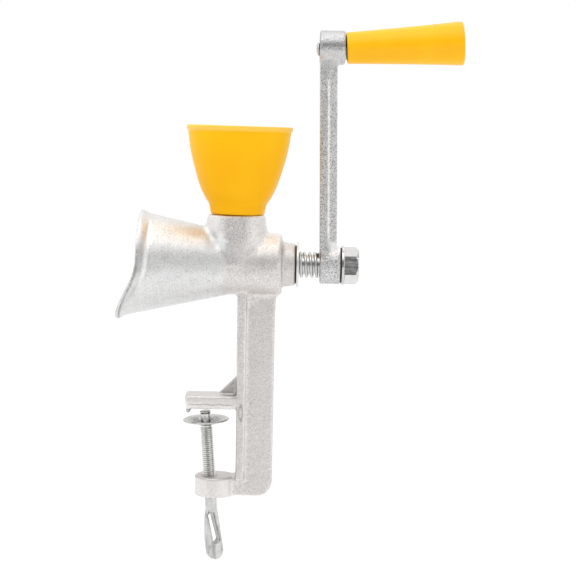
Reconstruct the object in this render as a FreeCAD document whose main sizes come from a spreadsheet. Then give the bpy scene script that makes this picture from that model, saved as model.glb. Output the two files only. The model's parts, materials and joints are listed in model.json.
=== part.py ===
import FreeCAD, Part
import os
import math
import Sketcher
from FreeCAD import Vector, Placement, Rotation

# Clamp-on hand mill: cast aluminium body with an open, scooped discharge hood,
# a push-in hopper, a feed worm and conical burrs on one shaft, a spring-loaded
# crank with a turning grip, and a table clamp with a dished pressure disc.
#
# Frame: origin on the underside of the upper clamp jaw (the face that sits on
# the table), X along the shaft towards the crank, Z up, millimetres.

doc = FreeCAD.newDocument("hand_mill")
sheet = doc.addObject("Spreadsheet::Sheet", "dims")

DIMS = [
    # main axis and body casting
    ("shaft_z", 90.0),
    ("barrel_rad", 19.2), ("barrel_end", 42.4), ("barrel_edge", 1.5),
    ("hood_root_x", 8.0), ("hood_root_rad", 19.8), ("hood_slope", 0.216),
    ("hood_split_x", -14.0), ("hood_wall", 3.0), ("rim_wall", 1.7), ("rim_flare", 1.05),
    ("lip_width", 6.4), ("lip_width_low", 8.0),
    ("rear_boss_base_rad", 13.9), ("rear_boss_tip_rad", 12.95), ("rear_boss_end", 50.7),
    ("chamber_rad", 14.5), ("chamber_end", 37.4), ("bush_seat_rad", 8.52), ("bush_seat_x", 40.0),
    ("shaft_hole_rad", 7.0),
    ("stator_seat_rad", 19.02), ("stator_seat_x", -2.0),
    ("neck_x", 13.95), ("neck_top_z", 120.3), ("neck_low_z", 108.0),
    ("neck_top_rad", 17.7), ("neck_low_rad", 19.5), ("neck_bore_rad", 14.7), ("throat_rad", 12.5),
    # post, jaw, gusset, lug
    ("post_left", 16.0), ("post_right", 38.7), ("flange_thick", 5.2), ("flange_wide", 20.0),
    ("web_wide", 12.4), ("post_low_z", -55.2), ("post_top_z", 76.0), ("post_corner", 9.6),
    ("root_fillet", 1.6),
    ("jaw_left", -16.2), ("jaw_thick", 8.2), ("jaw_step_z", 2.6), ("jaw_step", 0.55),
    ("jaw_draft", 0.45), ("jaw_lip_left", -15.1), ("jaw_lip_right", -12.2), ("jaw_lip_deep", 2.75),
    ("gusset_left", 4.3), ("gusset_top", 19.8), ("gusset_wide", 8.0),
    ("lug_x", 2.75), ("lug_low_z", -55.7), ("lug_top_z", -43.2), ("lug_rad", 12.5), ("lug_bore_rad", 4.2),
    ("foot_left", 8.0), ("ledge_x", 12.4), ("ledge_wide", 13.4),
    # clamp screw: axis leans towards the open side of the clamp
    ("screw_x", -3.97), ("screw_lean", 4.3),
    ("screw_rad", 4.0), ("screw_root_rad", 3.27), ("screw_pitch", 1.25),
    ("screw_tip", -2.45), ("screw_neck_rad", 3.15), ("screw_head_rad", 3.5), ("screw_head_len", 1.3),
    ("screw_shoulder", -11.9), ("screw_thread_low", -57.5), ("screw_stem_rad", 3.74), ("screw_stem_low", -67.5),
    ("eye_top", -65.0), ("eye_low", -97.9), ("eye_bow_x", 0.6), ("eye_bow_rad", 5.45), ("eye_neck_rad", 3.45), ("eye_belly", 78.0),
    ("eye_thick", 5.6), ("eye_edge", 1.7), ("eye_turn", 31.0),
    ("slot_top", -69.4), ("slot_top_x", -1.75), ("slot_top_rad", 1.9), ("slot_low", -84.4), ("slot_low_x", 0.85), ("slot_low_rad", 2.4),
    # pressure disc
    ("disc_rad", 14.55), ("disc_rim", -7.9), ("disc_low", -11.55), ("disc_sheet", 1.2),
    ("disc_flat_rad", 5.0), ("disc_hole_rad", 3.35), ("disc_tilt", 1.6), ("disc_lean", 2.3),
    # hopper
    ("hop_rim_rad", 32.6), ("hop_top_z", 174.6), ("hop_lip_z", 171.7), ("hop_under_lip_rad", 31.9),
    ("hop_wall", 1.8), ("hop_spigot_rad", 13.95), ("hop_spigot_low_z", 106.0), ("hop_spigot_wall", 1.7),
    ("hop_seat_gap", 0.05), ("hop_tilt", 0.75), ("hop_raise", 0.25),
    # shaft train
    ("shaft_rad", 6.0), ("shaft_left", -14.6), ("shaft_right", 88.8),
    ("flat_across", 9.4), ("flat_start", 62.4),
    ("bush_out_rad", 8.5), ("bush_in_rad", 6.05), ("bush_left", 40.0),
    ("fibre_rad", 11.8), ("fibre_thick", 0.75), ("thrust_rad", 14.15), ("thrust_thick", 1.4),
    ("washer_bore_rad", 6.2),
    ("spring_left", 52.9), ("spring_right", 65.45), ("spring_out_rad", 8.15), ("wire_dia", 1.9), ("spring_turns", 4.0),
    ("hub_left", 65.7), ("hub_right", 78.7), ("hub_rad", 11.6), ("hub_bore_rad", 6.08), ("hub_flat_across", 9.56),
    ("hub_fibre_rad", 11.0), ("hub_fibre_thick", 0.6),
    ("nut_washer_rad", 12.1), ("nut_washer_thick", 1.5), ("nut_thick", 9.0), ("nut_across", 20.0), ("nut_bore_rad", 6.08),
    # crank arm, pin and grip
    ("crank_rad", 133.3), ("arm_thick", 10.5), ("arm_wide", 15.6), ("arm_draft", 0.9), ("arm_lean", 2.35),
    ("arm_boss_rad", 10.3), ("arm_boss_left", 63.1), ("arm_boss_right", 78.7),
    ("pin_lean", 3.4), ("pin_rad", 3.5), ("pin_peen_rad", 4.6), ("pin_peen_len", 2.0),
    ("pin_hole_rad", 3.52), ("pin_head_rad", 6.0), ("pin_head_len", 3.0),
    ("grip_left", 79.6), ("grip_long", 71.2), ("grip_small_rad", 9.5), ("grip_big_rad", 13.3),
    ("grip_bore_rad", 3.58), ("grip_well_rad", 7.2), ("grip_well_deep", 6.0), ("grip_edge", 1.6),
    ("grip_washer_rad", 7.2), ("grip_washer_thick", 0.3),
    # worm and burrs
    ("worm_left", -2.1), ("flight_left", 3.0), ("worm_right", 36.6), ("worm_out_rad", 13.4), ("worm_root_rad", 8.4), ("worm_pitch", 15.0),
    ("worm_bore_rad", 6.03), ("worm_flight", 4.2), ("worm_pin_rad", 2.0), ("worm_pin_x", 12.8), ("worm_pin_long", 16.4),
    ("burr_left", -15.0), ("burr_right", -2.2), ("burr_big_rad", 16.2), ("burr_small_rad", 12.2), ("burr_bore_rad", 6.03),
    ("stator_left", -12.0), ("stator_out_rad", 19.0), ("stator_big_rad", 16.9), ("stator_small_rad", 13.0),
    ("groove_count", 12.0), ("groove_deep", 1.3),
    ("burr_washer_rad", 9.5), ("burr_washer_thick", 1.6),
    ("burr_screw_rad", 3.0), ("burr_screw_hole", 3.02), ("burr_screw_long", 14.0), ("burr_head_rad", 6.2), ("burr_head_len", 5.0), ("burr_slot", 1.4),
]
VAL = {}
for row, (alias, value) in enumerate(DIMS, start=2):
    sheet.set("A%d" % row, alias)
    sheet.set("B%d" % row, repr(float(value)))
    sheet.setAlias("B%d" % row, alias)
    VAL[alias] = float(value)
doc.recompute()


class Q:
    """A length or angle that carries its number and the sheet expression behind it."""

    def __init__(self, val, expr):
        self.val, self.expr = float(val), expr

    @staticmethod
    def of(x):
        return x if isinstance(x, Q) else Q(x, repr(float(x)))

    def __add__(self, o):
        o = Q.of(o)
        return Q(self.val + o.val, "(%s + %s)" % (self.expr, o.expr))

    __radd__ = __add__

    def __sub__(self, o):
        o = Q.of(o)
        return Q(self.val - o.val, "(%s - %s)" % (self.expr, o.expr))

    def __rsub__(self, o):
        return Q.of(o) - self

    def __mul__(self, o):
        o = Q.of(o)
        return Q(self.val * o.val, "(%s * %s)" % (self.expr, o.expr))

    __rmul__ = __mul__

    def __truediv__(self, o):
        o = Q.of(o)
        return Q(self.val / o.val, "(%s / %s)" % (self.expr, o.expr))

    def __neg__(self):
        return Q(-self.val, "(0 - %s)" % self.expr)


def q(alias):
    return Q(VAL[alias], "dims." + alias)


def plane_of(body, role):
    for f in body.Origin.OriginFeatures:
        if f.Role == role:
            return f
    raise RuntimeError(role)


def new_body(label):
    b = doc.addObject("PartDesign::Body", label)
    b.Label = label
    return b


def attach(body, sk, role, off=(0, 0, 0), turn=0):
    """Put a sketch on one of its body's planes, shifted and turned in that plane."""
    sk.AttachmentSupport = (plane_of(body, role), [""])
    sk.MapMode = "FlatFace"
    o = [Q.of(c) for c in off]
    turn_q = Q.of(turn)
    sk.AttachmentOffset = Placement(Vector(*[c.val for c in o]), Rotation(Vector(0, 0, 1), turn_q.val))
    for axis, given, c in zip("xyz", off, o):
        if isinstance(given, Q):
            sk.setExpression("AttachmentOffset.Base." + axis, c.expr)
    if isinstance(turn, Q):
        sk.setExpression("AttachmentOffset.Rotation.Angle", turn_q.expr)


def sketch(body, name, role, loops=(), circles=(), off=(0, 0, 0), turn=0):
    """A sketch of closed loops. A loop is (vertices, arcs): each vertex is two lengths from
    the sketch's origin, and arcs maps an edge number to (radius, side), side +1 bowing to the
    left of the edge's direction and -1 to the right. A circle is (x, y, radius)."""
    sk = body.newObject("Sketcher::SketchObject", name)
    attach(body, sk, role, off, turn)
    bound = []

    def add(cons, given):
        i = sk.addConstraint(cons)
        if isinstance(given, Q):
            bound.append((i, given.expr))

    def pin_point(g, pos, x, y):
        for kind, given, axis in (("DistanceX", x, -2), ("DistanceY", y, -1)):
            v = Q.of(given)
            if not isinstance(given, Q) and v.val == 0:
                sk.addConstraint(Sketcher.Constraint("PointOnObject", g, pos, axis))
            else:
                add(Sketcher.Constraint(kind, -1, 1, g, pos, v.val), given)

    for verts, arcs in loops:
        n = len(verts)
        pts = [Vector(Q.of(x).val, Q.of(y).val, 0) for x, y in verts]
        ends, first = [], None
        for i in range(n):
            a, b = pts[i], pts[(i + 1) % n]
            if i in arcs:
                r, side = Q.of(arcs[i][0]).val, arcs[i][1]
                mid, d = (a + b) * 0.5, b - a
                left = Vector(-d.y, d.x, 0).normalize()
                h = math.sqrt(max(r * r - (d.Length / 2) ** 2, 0.0))
                c = mid - left * (h * side)
                a0, a1 = math.atan2(a.y - c.y, a.x - c.x), math.atan2(b.y - c.y, b.x - c.x)
                if side > 0:
                    # bowing left of the travel direction runs clockwise
                    if a0 < a1:
                        a0 += 2 * math.pi
                    g = sk.addGeometry(Part.ArcOfCircle(Part.Circle(c, Vector(0, 0, 1), r), a1, a0))
                    ends.append((g, 2, 1))
                else:
                    if a1 < a0:
                        a1 += 2 * math.pi
                    g = sk.addGeometry(Part.ArcOfCircle(Part.Circle(c, Vector(0, 0, 1), r), a0, a1))
                    ends.append((g, 1, 2))
            else:
                g = sk.addGeometry(Part.LineSegment(a, b))
                ends.append((g, 1, 2))
        for i in range(n):
            g, s, e = ends[i]
            g2, s2, e2 = ends[(i + 1) % n]
            sk.addConstraint(Sketcher.Constraint("Coincident", g, e, g2, s2))
        for i in range(n):
            pin_point(ends[i][0], ends[i][1], *verts[i])
        for i, (r, side) in arcs.items():
            add(Sketcher.Constraint("Radius", ends[i][0], Q.of(r).val), r)
    for x, y, r in circles:
        g = sk.addGeometry(Part.Circle(Vector(Q.of(x).val, Q.of(y).val, 0), Vector(0, 0, 1), Q.of(r).val))
        add(Sketcher.Constraint("Radius", g, Q.of(r).val), r)
        pin_point(g, 3, x, y)
    for i, expr in bound:
        sk.setExpression("Constraints[%d]" % i, expr)
    return sk


def feature(body, kind, sk, name, **props):
    f = body.newObject("PartDesign::" + kind, name)
    f.Profile = sk
    for k, v in props.items():
        if isinstance(v, Q):
            setattr(f, k, v.val)
            f.setExpression(k, v.expr)
        else:
            setattr(f, k, v)
    return f


def revolve(body, sk, name, axis="H_Axis", kind="Revolution"):
    return feature(body, kind, sk, name, ReferenceAxis=(sk, [axis]), Angle=360.0)


def place(obj, x=0, y=0, z=0, axis=Vector(0, 0, 1), angle=0):
    """Place a sub-part, its position bound to the sheet."""
    vals = [Q.of(c) for c in (x, y, z)]
    ang = Q.of(angle)
    obj.Placement = Placement(Vector(*[v.val for v in vals]), Rotation(axis, ang.val))
    for ax, given, v in zip("xyz", (x, y, z), vals):
        if isinstance(given, Q):
            obj.setExpression("Placement.Base." + ax, v.expr)
    if isinstance(angle, Q):
        obj.setExpression("Placement.Rotation.Angle", ang.expr)


def prim(kind, name, **props):
    o = doc.addObject("Part::" + kind, name)
    for k, v in props.items():
        if isinstance(v, Q):
            setattr(o, k, v.val)
            o.setExpression(k, v.expr)
        else:
            setattr(o, k, v)
    return o


def try_fillet(body, name, radius, pick):
    """Round the edges that pick chooses, and keep the feature only if the solid stays sound."""
    doc.recompute()
    base = body.Tip
    names = ["Edge%d" % (i + 1) for i, e in enumerate(base.Shape.Edges) if pick(e)]
    if not names:
        print("no edges for", name)
        return None
    f = body.newObject("PartDesign::Fillet", name)
    f.Base = (base, names)
    f.Radius = radius.val
    f.setExpression("Radius", radius.expr)
    doc.recompute()
    if "Invalid" in f.State or f.Shape.isNull() or not f.Shape.isValid() or f.Shape.Volume <= 0:
        print("left out", name)
        body.removeObject(f)
        doc.removeObject(f.Name)
        body.Tip = base
        doc.recompute()
        return None
    return f


PARTS = []


def hand_in(obj, label):
    obj.Label = label
    PARTS.append((obj, label))


def turned(label, verts, arcs=None, along="X"):
    """A turned piece: one profile of (station, radius), revolved about the piece's own axis."""
    b = new_body(label)
    if along == "X":
        sk = sketch(b, label + "_profile", "XZ_Plane", [(verts, arcs or {})])
        revolve(b, sk, label + "_turn", "H_Axis")
    else:
        sk = sketch(b, label + "_profile", "XZ_Plane", [([(y, x) for x, y in verts], arcs or {})])
        revolve(b, sk, label + "_turn", "V_Axis")
    return b


def ring(label, x0, x1, r_in, r_out):
    b = turned(label, [(x0, r_in), (x1, r_in), (x1, r_out), (x0, r_out)])
    place(b, 0, 0, q("shaft_z"))
    hand_in(b, label)
    return b


# ---------------------------------------------------------------- body casting
core = new_body("casting_core")


def cone_rad(x):
    """Outer radius of the hood's cone at station x."""
    return q("hood_root_rad") + q("hood_slope") * (q("hood_root_x") - x)


# barrel, rear boss and the root of the hood, about the shaft axis
outer = [
    (q("hood_split_x"), 0),
    (q("rear_boss_end"), 0),
    (q("rear_boss_end"), q("rear_boss_tip_rad") - 0.6),
    (q("rear_boss_end") - 0.6, q("rear_boss_tip_rad")),
    (q("barrel_end") + 1.2, q("rear_boss_base_rad")),
    (q("barrel_end"), q("rear_boss_base_rad") + 1.0),
    (q("barrel_end"), q("barrel_rad") - q("barrel_edge")),
    (q("barrel_end") - q("barrel_edge"), q("barrel_rad")),
    (q("hood_root_x") + 1.2, q("barrel_rad")),
    (q("hood_root_x"), cone_rad(q("hood_root_x"))),
    (q("hood_split_x"), cone_rad(q("hood_split_x"))),
]
sk = sketch(core, "barrel_profile", "XZ_Plane", [(outer, {6: (q("barrel_edge"), 1)})], off=(0, q("shaft_z"), 0))
revolve(core, sk, "barrel")
doc.recompute()

# filler neck
neck = [
    (0, q("shaft_z")),
    (q("neck_low_rad") + 0.4, q("shaft_z")),
    (q("neck_low_rad"), q("neck_low_z")),
    (q("neck_top_rad"), q("neck_top_z") - 0.8),
    (q("neck_top_rad") - 0.8, q("neck_top_z")),
    (0, q("neck_top_z")),
]
sk = sketch(core, "neck_profile", "XZ_Plane", [(neck, {})], off=(q("neck_x"), 0, 0))
revolve(core, sk, "neck", "V_Axis")
doc.recompute()

# post: broad flange towards the table, narrower web behind it
flange = [
    (q("post_left"), q("lug_top_z") - 2.0),
    (q("post_left") + q("flange_thick"), q("lug_top_z") - 2.0),
    (q("post_left") + q("flange_thick"), q("post_top_z")),
    (q("post_left"), q("post_top_z")),
]
sk = sketch(core, "flange_side", "XZ_Plane", [(flange, {})])
feature(core, "Pad", sk, "flange", Length=q("flange_wide"), Midplane=True)
web = [
    (q("foot_left"), q("post_low_z")),
    (q("post_right") - q("post_corner"), q("post_low_z")),
    (q("post_right"), q("post_low_z") + q("post_corner")),
    (q("post_right"), q("post_top_z")),
    (q("post_left") + q("flange_thick") - 1.0, q("post_top_z")),
    (q("post_left") + q("flange_thick") - 1.0, q("lug_top_z") - 0.3),
    (q("foot_left"), q("lug_top_z") - 0.3),
]
sk = sketch(core, "web_side", "XZ_Plane", [(web, {1: (q("post_corner"), -1)})])
feature(core, "Pad", sk, "web", Length=q("web_wide"), Midplane=True)
doc.recompute()

# upper jaw, its recessed lower edge and the gripping lip at its free end
jaw_top = [
    (q("jaw_left") + q("jaw_draft"), q("jaw_step_z")),
    (q("post_left") + 1.0, q("jaw_step_z")),
    (q("post_left") + 1.0, q("jaw_thick")),
    (q("jaw_left") + 1.0, q("jaw_thick")),
    (q("jaw_left"), q("jaw_thick") - 1.0),
]
sk = sketch(core, "jaw_side", "XZ_Plane", [(jaw_top, {3: (1.0, -1)})])
feature(core, "Pad", sk, "jaw", Length=q("flange_wide"), Midplane=True)
jaw_low = [
    (q("jaw_left") + q("jaw_step") + 1.6 * q("jaw_draft"), 0),
    (q("post_left") + 1.0, 0),
    (q("post_left") + 1.0, q("jaw_step_z") + 0.5),
    (q("jaw_left") + q("jaw_step") + 0.8 * q("jaw_draft"), q("jaw_step_z") + 0.5),
]
sk = sketch(core, "jaw_low_side", "XZ_Plane", [(jaw_low, {})])
feature(core, "Pad", sk, "jaw_low", Length=q("flange_wide") - 2.0 * q("jaw_step"), Midplane=True)
lip = [
    (q("jaw_lip_left"), -q("jaw_lip_deep")),
    (q("jaw_lip_right") - 1.0, -q("jaw_lip_deep")),
    (q("jaw_lip_right"), 0.5),
    (q("jaw_lip_left"), 0.5),
]
sk = sketch(core, "jaw_lip_side", "XZ_Plane", [(lip, {})])
feature(core, "Pad", sk, "jaw_lip", Length=q("flange_wide") - 2.0 * q("jaw_step") - 1.0, Midplane=True)
gusset = [
    (q("gusset_left"), q("jaw_thick") - 1.0),
    (q("post_left") + 1.0, q("jaw_thick") - 1.0),
    (q("post_left") + 1.0, q("gusset_top") + 1.0),
    (q("post_left"), q("gusset_top")),
    (q("gusset_left"), q("jaw_thick")),
]
sk = sketch(core, "gusset_side", "XZ_Plane", [(gusset, {})])
feature(core, "Pad", sk, "gusset", Length=q("gusset_wide"), Midplane=True)
doc.recompute()

# lower lug: a round boss, and the rounded inner corner where it meets the post
sk = sketch(core, "lug_plan", "XY_Plane", [], [(q("lug_x"), 0, q("lug_rad"))], off=(0, 0, q("lug_low_z")))
feature(core, "Pad", sk, "lug", Length=q("lug_top_z") - q("lug_low_z"))
ledge = [
    (q("ledge_x"), q("lug_top_z") - 3.0),
    (q("post_left") + 1.0, q("lug_top_z") - 3.0),
    (q("post_left") + 1.0, q("lug_top_z") + 3.4),
    (q("post_left"), q("lug_top_z") + 2.4),
    (q("post_left") - 2.4, q("lug_top_z")),
    (q("ledge_x"), q("lug_top_z")),
]
sk = sketch(core, "ledge_side", "XZ_Plane", [(ledge, {3: (Q.of(2.4) * Q.of(1.0), 1)})])
feature(core, "Pad", sk, "ledge", Length=q("ledge_wide"), Midplane=True)
doc.recompute()

# hollows: worm chamber, stator seat and throat, shaft hole, bush seat
hollow = [
    (q("hood_split_x") - 5.0, 0),
    (q("rear_boss_end") + 5.0, 0),
    (q("rear_boss_end") + 5.0, q("bush_seat_rad")),
    (q("bush_seat_x"), q("bush_seat_rad")),
    (q("bush_seat_x"), q("shaft_hole_rad")),
    (q("chamber_end"), q("shaft_hole_rad")),
    (q("chamber_end"), q("chamber_rad")),
    (q("stator_seat_x"), q("chamber_rad")),
    (q("stator_seat_x"), q("stator_seat_rad")),
    (q("stator_left") - 0.4, q("stator_seat_rad")),
    (q("stator_left") - 0.4, cone_rad(q("hood_split_x")) - q("hood_wall")),
    (q("hood_split_x") - 5.0, cone_rad(q("hood_split_x")) - q("hood_wall")),
]
sk = sketch(core, "hollow_profile", "XZ_Plane", [(hollow, {})], off=(0, q("shaft_z"), 0))
before = core.Tip.Shape.Volume
revolve(core, sk, "hollow", "H_Axis", "Groove")
doc.recompute()
print("hollow takes", round(before - core.Tip.Shape.Volume))
bore = [
    (0, q("shaft_z") + 2.0),
    (q("throat_rad"), q("shaft_z") + 2.0),
    (q("throat_rad"), q("hop_spigot_low_z") - 0.4),
    (q("neck_bore_rad"), q("hop_spigot_low_z") - 0.4),
    (q("neck_bore_rad"), q("neck_top_z") + 5.0),
    (0, q("neck_top_z") + 5.0),
]
sk = sketch(core, "neck_bore_profile", "XZ_Plane", [(bore, {})], off=(q("neck_x"), 0, 0))
before = core.Tip.Shape.Volume
revolve(core, sk, "neck_bore", "V_Axis", "Groove")
doc.recompute()
print("neck bore takes", round(before - core.Tip.Shape.Volume))
# clamp screw's hole through the lug, on the screw's leaning axis
hole = [
    (0, q("lug_low_z") - 4.0),
    (q("lug_bore_rad"), q("lug_low_z") - 4.0),
    (q("lug_bore_rad"), q("lug_top_z") + 6.0),
    (0, q("lug_top_z") + 6.0),
]
sk = sketch(core, "lug_bore_profile", "XZ_Plane", [(hole, {})], off=(q("screw_x"), 0, 0), turn=q("screw_lean"))
before = core.Tip.Shape.Volume
revolve(core, sk, "lug_bore", "V_Axis", "Groove")
doc.recompute()
print("lug bore takes", round(before - core.Tip.Shape.Volume))


def on_plane_edge(e, test):
    return all(test(v.Point) for v in e.Vertexes) and test(e.valueAt((e.FirstParameter + e.LastParameter) / 2))


# root between flange and web, and the post's inner corners
def web_root(e):
    x = VAL["post_left"] + VAL["flange_thick"]
    return on_plane_edge(e, lambda p: abs(p.x - x) < 1e-3 and abs(abs(p.y) - VAL["web_wide"] / 2) < 1e-3)


try_fillet(core, "web_root_fillet", q("root_fillet"), web_root)


def web_back(e):
    x = VAL["post_right"]
    return on_plane_edge(e, lambda p: abs(p.x - x) < 1e-3 and abs(abs(p.y) - VAL["web_wide"] / 2) < 1e-3) and e.Length > 50


try_fillet(core, "web_back_fillet", Q.of(1.2) * Q.of(1.0), web_back)


def jaw_outer(e):
    return on_plane_edge(e, lambda p: abs(p.z - VAL["jaw_thick"]) < 1e-3 and abs(abs(p.y) - VAL["flange_wide"] / 2) < 1e-3) and e.Length > 8


try_fillet(core, "jaw_edge_fillet", Q.of(0.7) * Q.of(1.0), jaw_outer)


# discharge hood beyond the stator: a cone whose mouth is scooped, upright above the shaft and
# reaching forward below it, with a flared lip that follows the mouth
RIM = [
    (0, -45.0), (16, -45.1), (43, -45.3), (57, -45.5), (70, -45.6), (81, -45.65), (92, -46.1), (101, -47.5),
    (111, -50.0), (121, -53.0), (131, -55.6), (141, -57.6), (150, -58.8), (160, -59.5), (180, -60.0),
]


def rim_x(deg):
    """Station of the mouth's edge at an angle from the top, the same on both sides."""
    a = abs((deg + 180.0) % 360.0 - 180.0)
    for (a0, x0), (a1, x1) in zip(RIM, RIM[1:]):
        if a <= a1:
            w = (a - a0) / (a1 - a0)
            return x0 + (x1 - x0) * w
    return RIM[-1][1]


def smooth_rim(deg):
    """The mouth's edge, averaged over a short arc so that it runs without corners."""
    w = [math.exp(-((k / 7.0) ** 2)) for k in range(-14, 15)]
    return sum(g * rim_x(deg + k) for g, k in zip(w, range(-14, 15))) / sum(w)


COUNT = 48
ANGLES = [360.0 * k / COUNT for k in range(COUNT)]
slope, root_r, root_x = VAL["hood_slope"], VAL["hood_root_rad"], VAL["hood_root_x"]
split = VAL["hood_split_x"]


def lip_width(deg):
    low = 0.5 - 0.5 * math.cos(math.radians(deg))
    return VAL["lip_width"] + (VAL["lip_width_low"] - VAL["lip_width"]) * low


def section(back, flare, inset):
    """A closed curve round the hood, back lip widths behind the mouth's edge, flared outwards by
    flare and moved inwards by inset."""
    pts = []
    for deg in ANGLES:
        x = smooth_rim(deg) + back * lip_width(deg)
        r = root_r + slope * (root_x - x) + flare - inset
        t = math.radians(deg)
        pts.append(Vector(x, -r * math.sin(t), r * math.cos(t)))
    curve = Part.BSplineCurve()
    curve.interpolate(Points=pts, PeriodicFlag=True, Parameters=[2 * math.pi * k / COUNT for k in range(COUNT + 1)])
    return curve.toShape()


def split_circle(r):
    # starts at the top and runs the same way as the sections
    c = Part.Circle(Vector(split, 0, 0), Vector(1, 0, 0), r)
    c.Axis = Vector(1, 0, 0)
    pts = [Vector(split, -r * math.sin(math.radians(a)), r * math.cos(math.radians(a))) for a in (0, 120, 240)]
    arc = Part.Circle(pts[0], pts[1], pts[2])
    return arc.toShape()


r_out = root_r + slope * (root_x - split)
r_in = r_out - VAL["hood_wall"]
flare, rim_wall, wall = VAL["rim_flare"], VAL["rim_wall"], VAL["hood_wall"]
o0, i0 = split_circle(r_out), split_circle(r_in)
o1 = section(1.0, 0.0, 0.0)
oa = section(0.82, 0.10 * flare, 0.0)
o2 = section(0.56, 0.60 * flare, 0.0)
o3 = section(0.0, flare, 0.0)
i1 = section(1.0, 0.0, wall * 0.80)
ia = section(0.82, 0.10 * flare, wall * 0.77)
i2 = section(0.56, 0.60 * flare, wall * 0.71)
i3 = section(0.0, flare, rim_wall)
faces = [
    Part.makeRuledSurface(o0, o1),
    Part.makeRuledSurface(o3, i3),
    Part.makeRuledSurface(i1, i0),
]
for trio in ((o1, oa, o2, o3), (i3, i2, ia, i1)):
    faces += Part.makeLoft([Part.Wire([e]) for e in trio], False, False).Faces
ring_face = Part.makeFace([Part.Wire([o0]), Part.Wire([i0])], "Part::FaceMakerBullseye")
faces.append(ring_face)
shell = Part.makeShell(faces)
shell.sewShape()
hood_solid = Part.makeSolid(shell)
if hood_solid.Volume < 0:
    hood_solid.reverse()
hood = doc.addObject("Part::Feature", "hood")
hood.Shape = hood_solid
place(hood, 0, 0, q("shaft_z"))
print("hood valid", hood.Shape.isValid(), round(hood.Shape.Volume))

casting = doc.addObject("Part::MultiFuse", "body_casting")
casting.Shapes = [core, hood]
casting.Refine = False
hand_in(casting, "body_casting")
doc.recompute()
print("casting", casting.Shape.isValid(), len(casting.Shape.Solids), round(casting.Shape.Volume))

# ---------------------------------------------------------------- hopper
wall_h = q("hop_wall")
seat = q("neck_top_z") + q("hop_seat_gap")
CUP = [(123.6, 17.2), (126.9, 17.95), (129.7, 19.8), (134.6, 22.45), (140.7, 24.8), (148.0, 27.0), (156.1, 29.2), (163.0, 30.55), (167.0, 31.1)]
outside = [(seat, 15.7), (seat + 1.0, 16.7)] + [(Q.of(z_), Q.of(r_)) for z_, r_ in CUP]
hop = [(q("hop_spigot_low_z"), q("hop_spigot_rad") - q("hop_spigot_wall")),
       (q("hop_spigot_low_z"), q("hop_spigot_rad") - 0.5),
       (q("hop_spigot_low_z") + 1.5, q("hop_spigot_rad")),
       (seat, q("hop_spigot_rad"))]
hop += outside
hop += [(q("hop_lip_z"), q("hop_under_lip_rad")), (q("hop_lip_z") + 0.5, q("hop_rim_rad")), (q("hop_top_z") - 0.5, q("hop_rim_rad")), (q("hop_top_z"), q("hop_rim_rad") - 0.5)]
hop += [(q("hop_top_z"), q("hop_under_lip_rad") - wall_h + 0.3)]
hop += [(Q.of(z_) + 0.6, Q.of(r_) - wall_h) for z_, r_ in reversed(CUP)]
hop += [(seat + 2.4, q("hop_spigot_rad") - q("hop_spigot_wall"))]
hopper = turned("hopper", hop, along="Z")
# it sits a little askew in the neck
place(hopper, q("neck_x") + 0.45 - q("neck_top_z") * math.sin(math.radians(VAL["hop_tilt"])), 0, q("hop_raise"), Vector(0, 1, 0), q("hop_tilt"))
hand_in(hopper, "hopper")

# ---------------------------------------------------------------- shaft and what turns with it
shaft = turned("drive_shaft", [
    (q("shaft_left"), q("burr_screw_hole")),
    (q("shaft_left"), q("shaft_rad") - 0.6),
    (q("shaft_left") + 0.6, q("shaft_rad")),
    (q("shaft_right") - 1.0, q("shaft_rad")),
    (q("shaft_right"), q("shaft_rad") - 1.0),
    (q("shaft_right"), 0),
    (q("shaft_left") + q("burr_screw_long") + 2.0, 0),
    (q("shaft_left") + q("burr_screw_long"), q("burr_screw_hole")),
])
doc.recompute()
# two flats that carry the crank, cut from the outer end
flats = [
    [(-q("shaft_rad") - 2.0, q("flat_across") / 2.0), (q("shaft_rad") + 2.0, q("flat_across") / 2.0), (q("shaft_rad") + 2.0, q("shaft_rad") + 2.0), (-q("shaft_rad") - 2.0, q("shaft_rad") + 2.0)],
    [(-q("shaft_rad") - 2.0, -q("shaft_rad") - 2.0), (q("shaft_rad") + 2.0, -q("shaft_rad") - 2.0), (q("shaft_rad") + 2.0, -q("flat_across") / 2.0), (-q("shaft_rad") - 2.0, -q("flat_across") / 2.0)],
]
sk = sketch(shaft, "flat_ends", "YZ_Plane", [(f, {}) for f in flats], off=(0, 0, q("flat_start")))
before = shaft.Tip.Shape.Volume
cut = feature(shaft, "Pocket", sk, "flats", Length=q("shaft_right") - q("flat_start") + 2.0, Reversed=True)
doc.recompute()
print("flats take", round(before - shaft.Tip.Shape.Volume, 1))
# cross hole for the worm's pin
sk = sketch(shaft, "pin_hole_plan", "XY_Plane", [], [(q("worm_pin_x"), 0, q("worm_pin_rad") + 0.02)])
before = shaft.Tip.Shape.Volume
feature(shaft, "Pocket", sk, "pin_hole", Type="ThroughAll", Midplane=True)
doc.recompute()
print("pin hole takes", round(before - shaft.Tip.Shape.Volume, 1))
place(shaft, 0, 0, q("shaft_z"))
hand_in(shaft, "drive_shaft")

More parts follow.
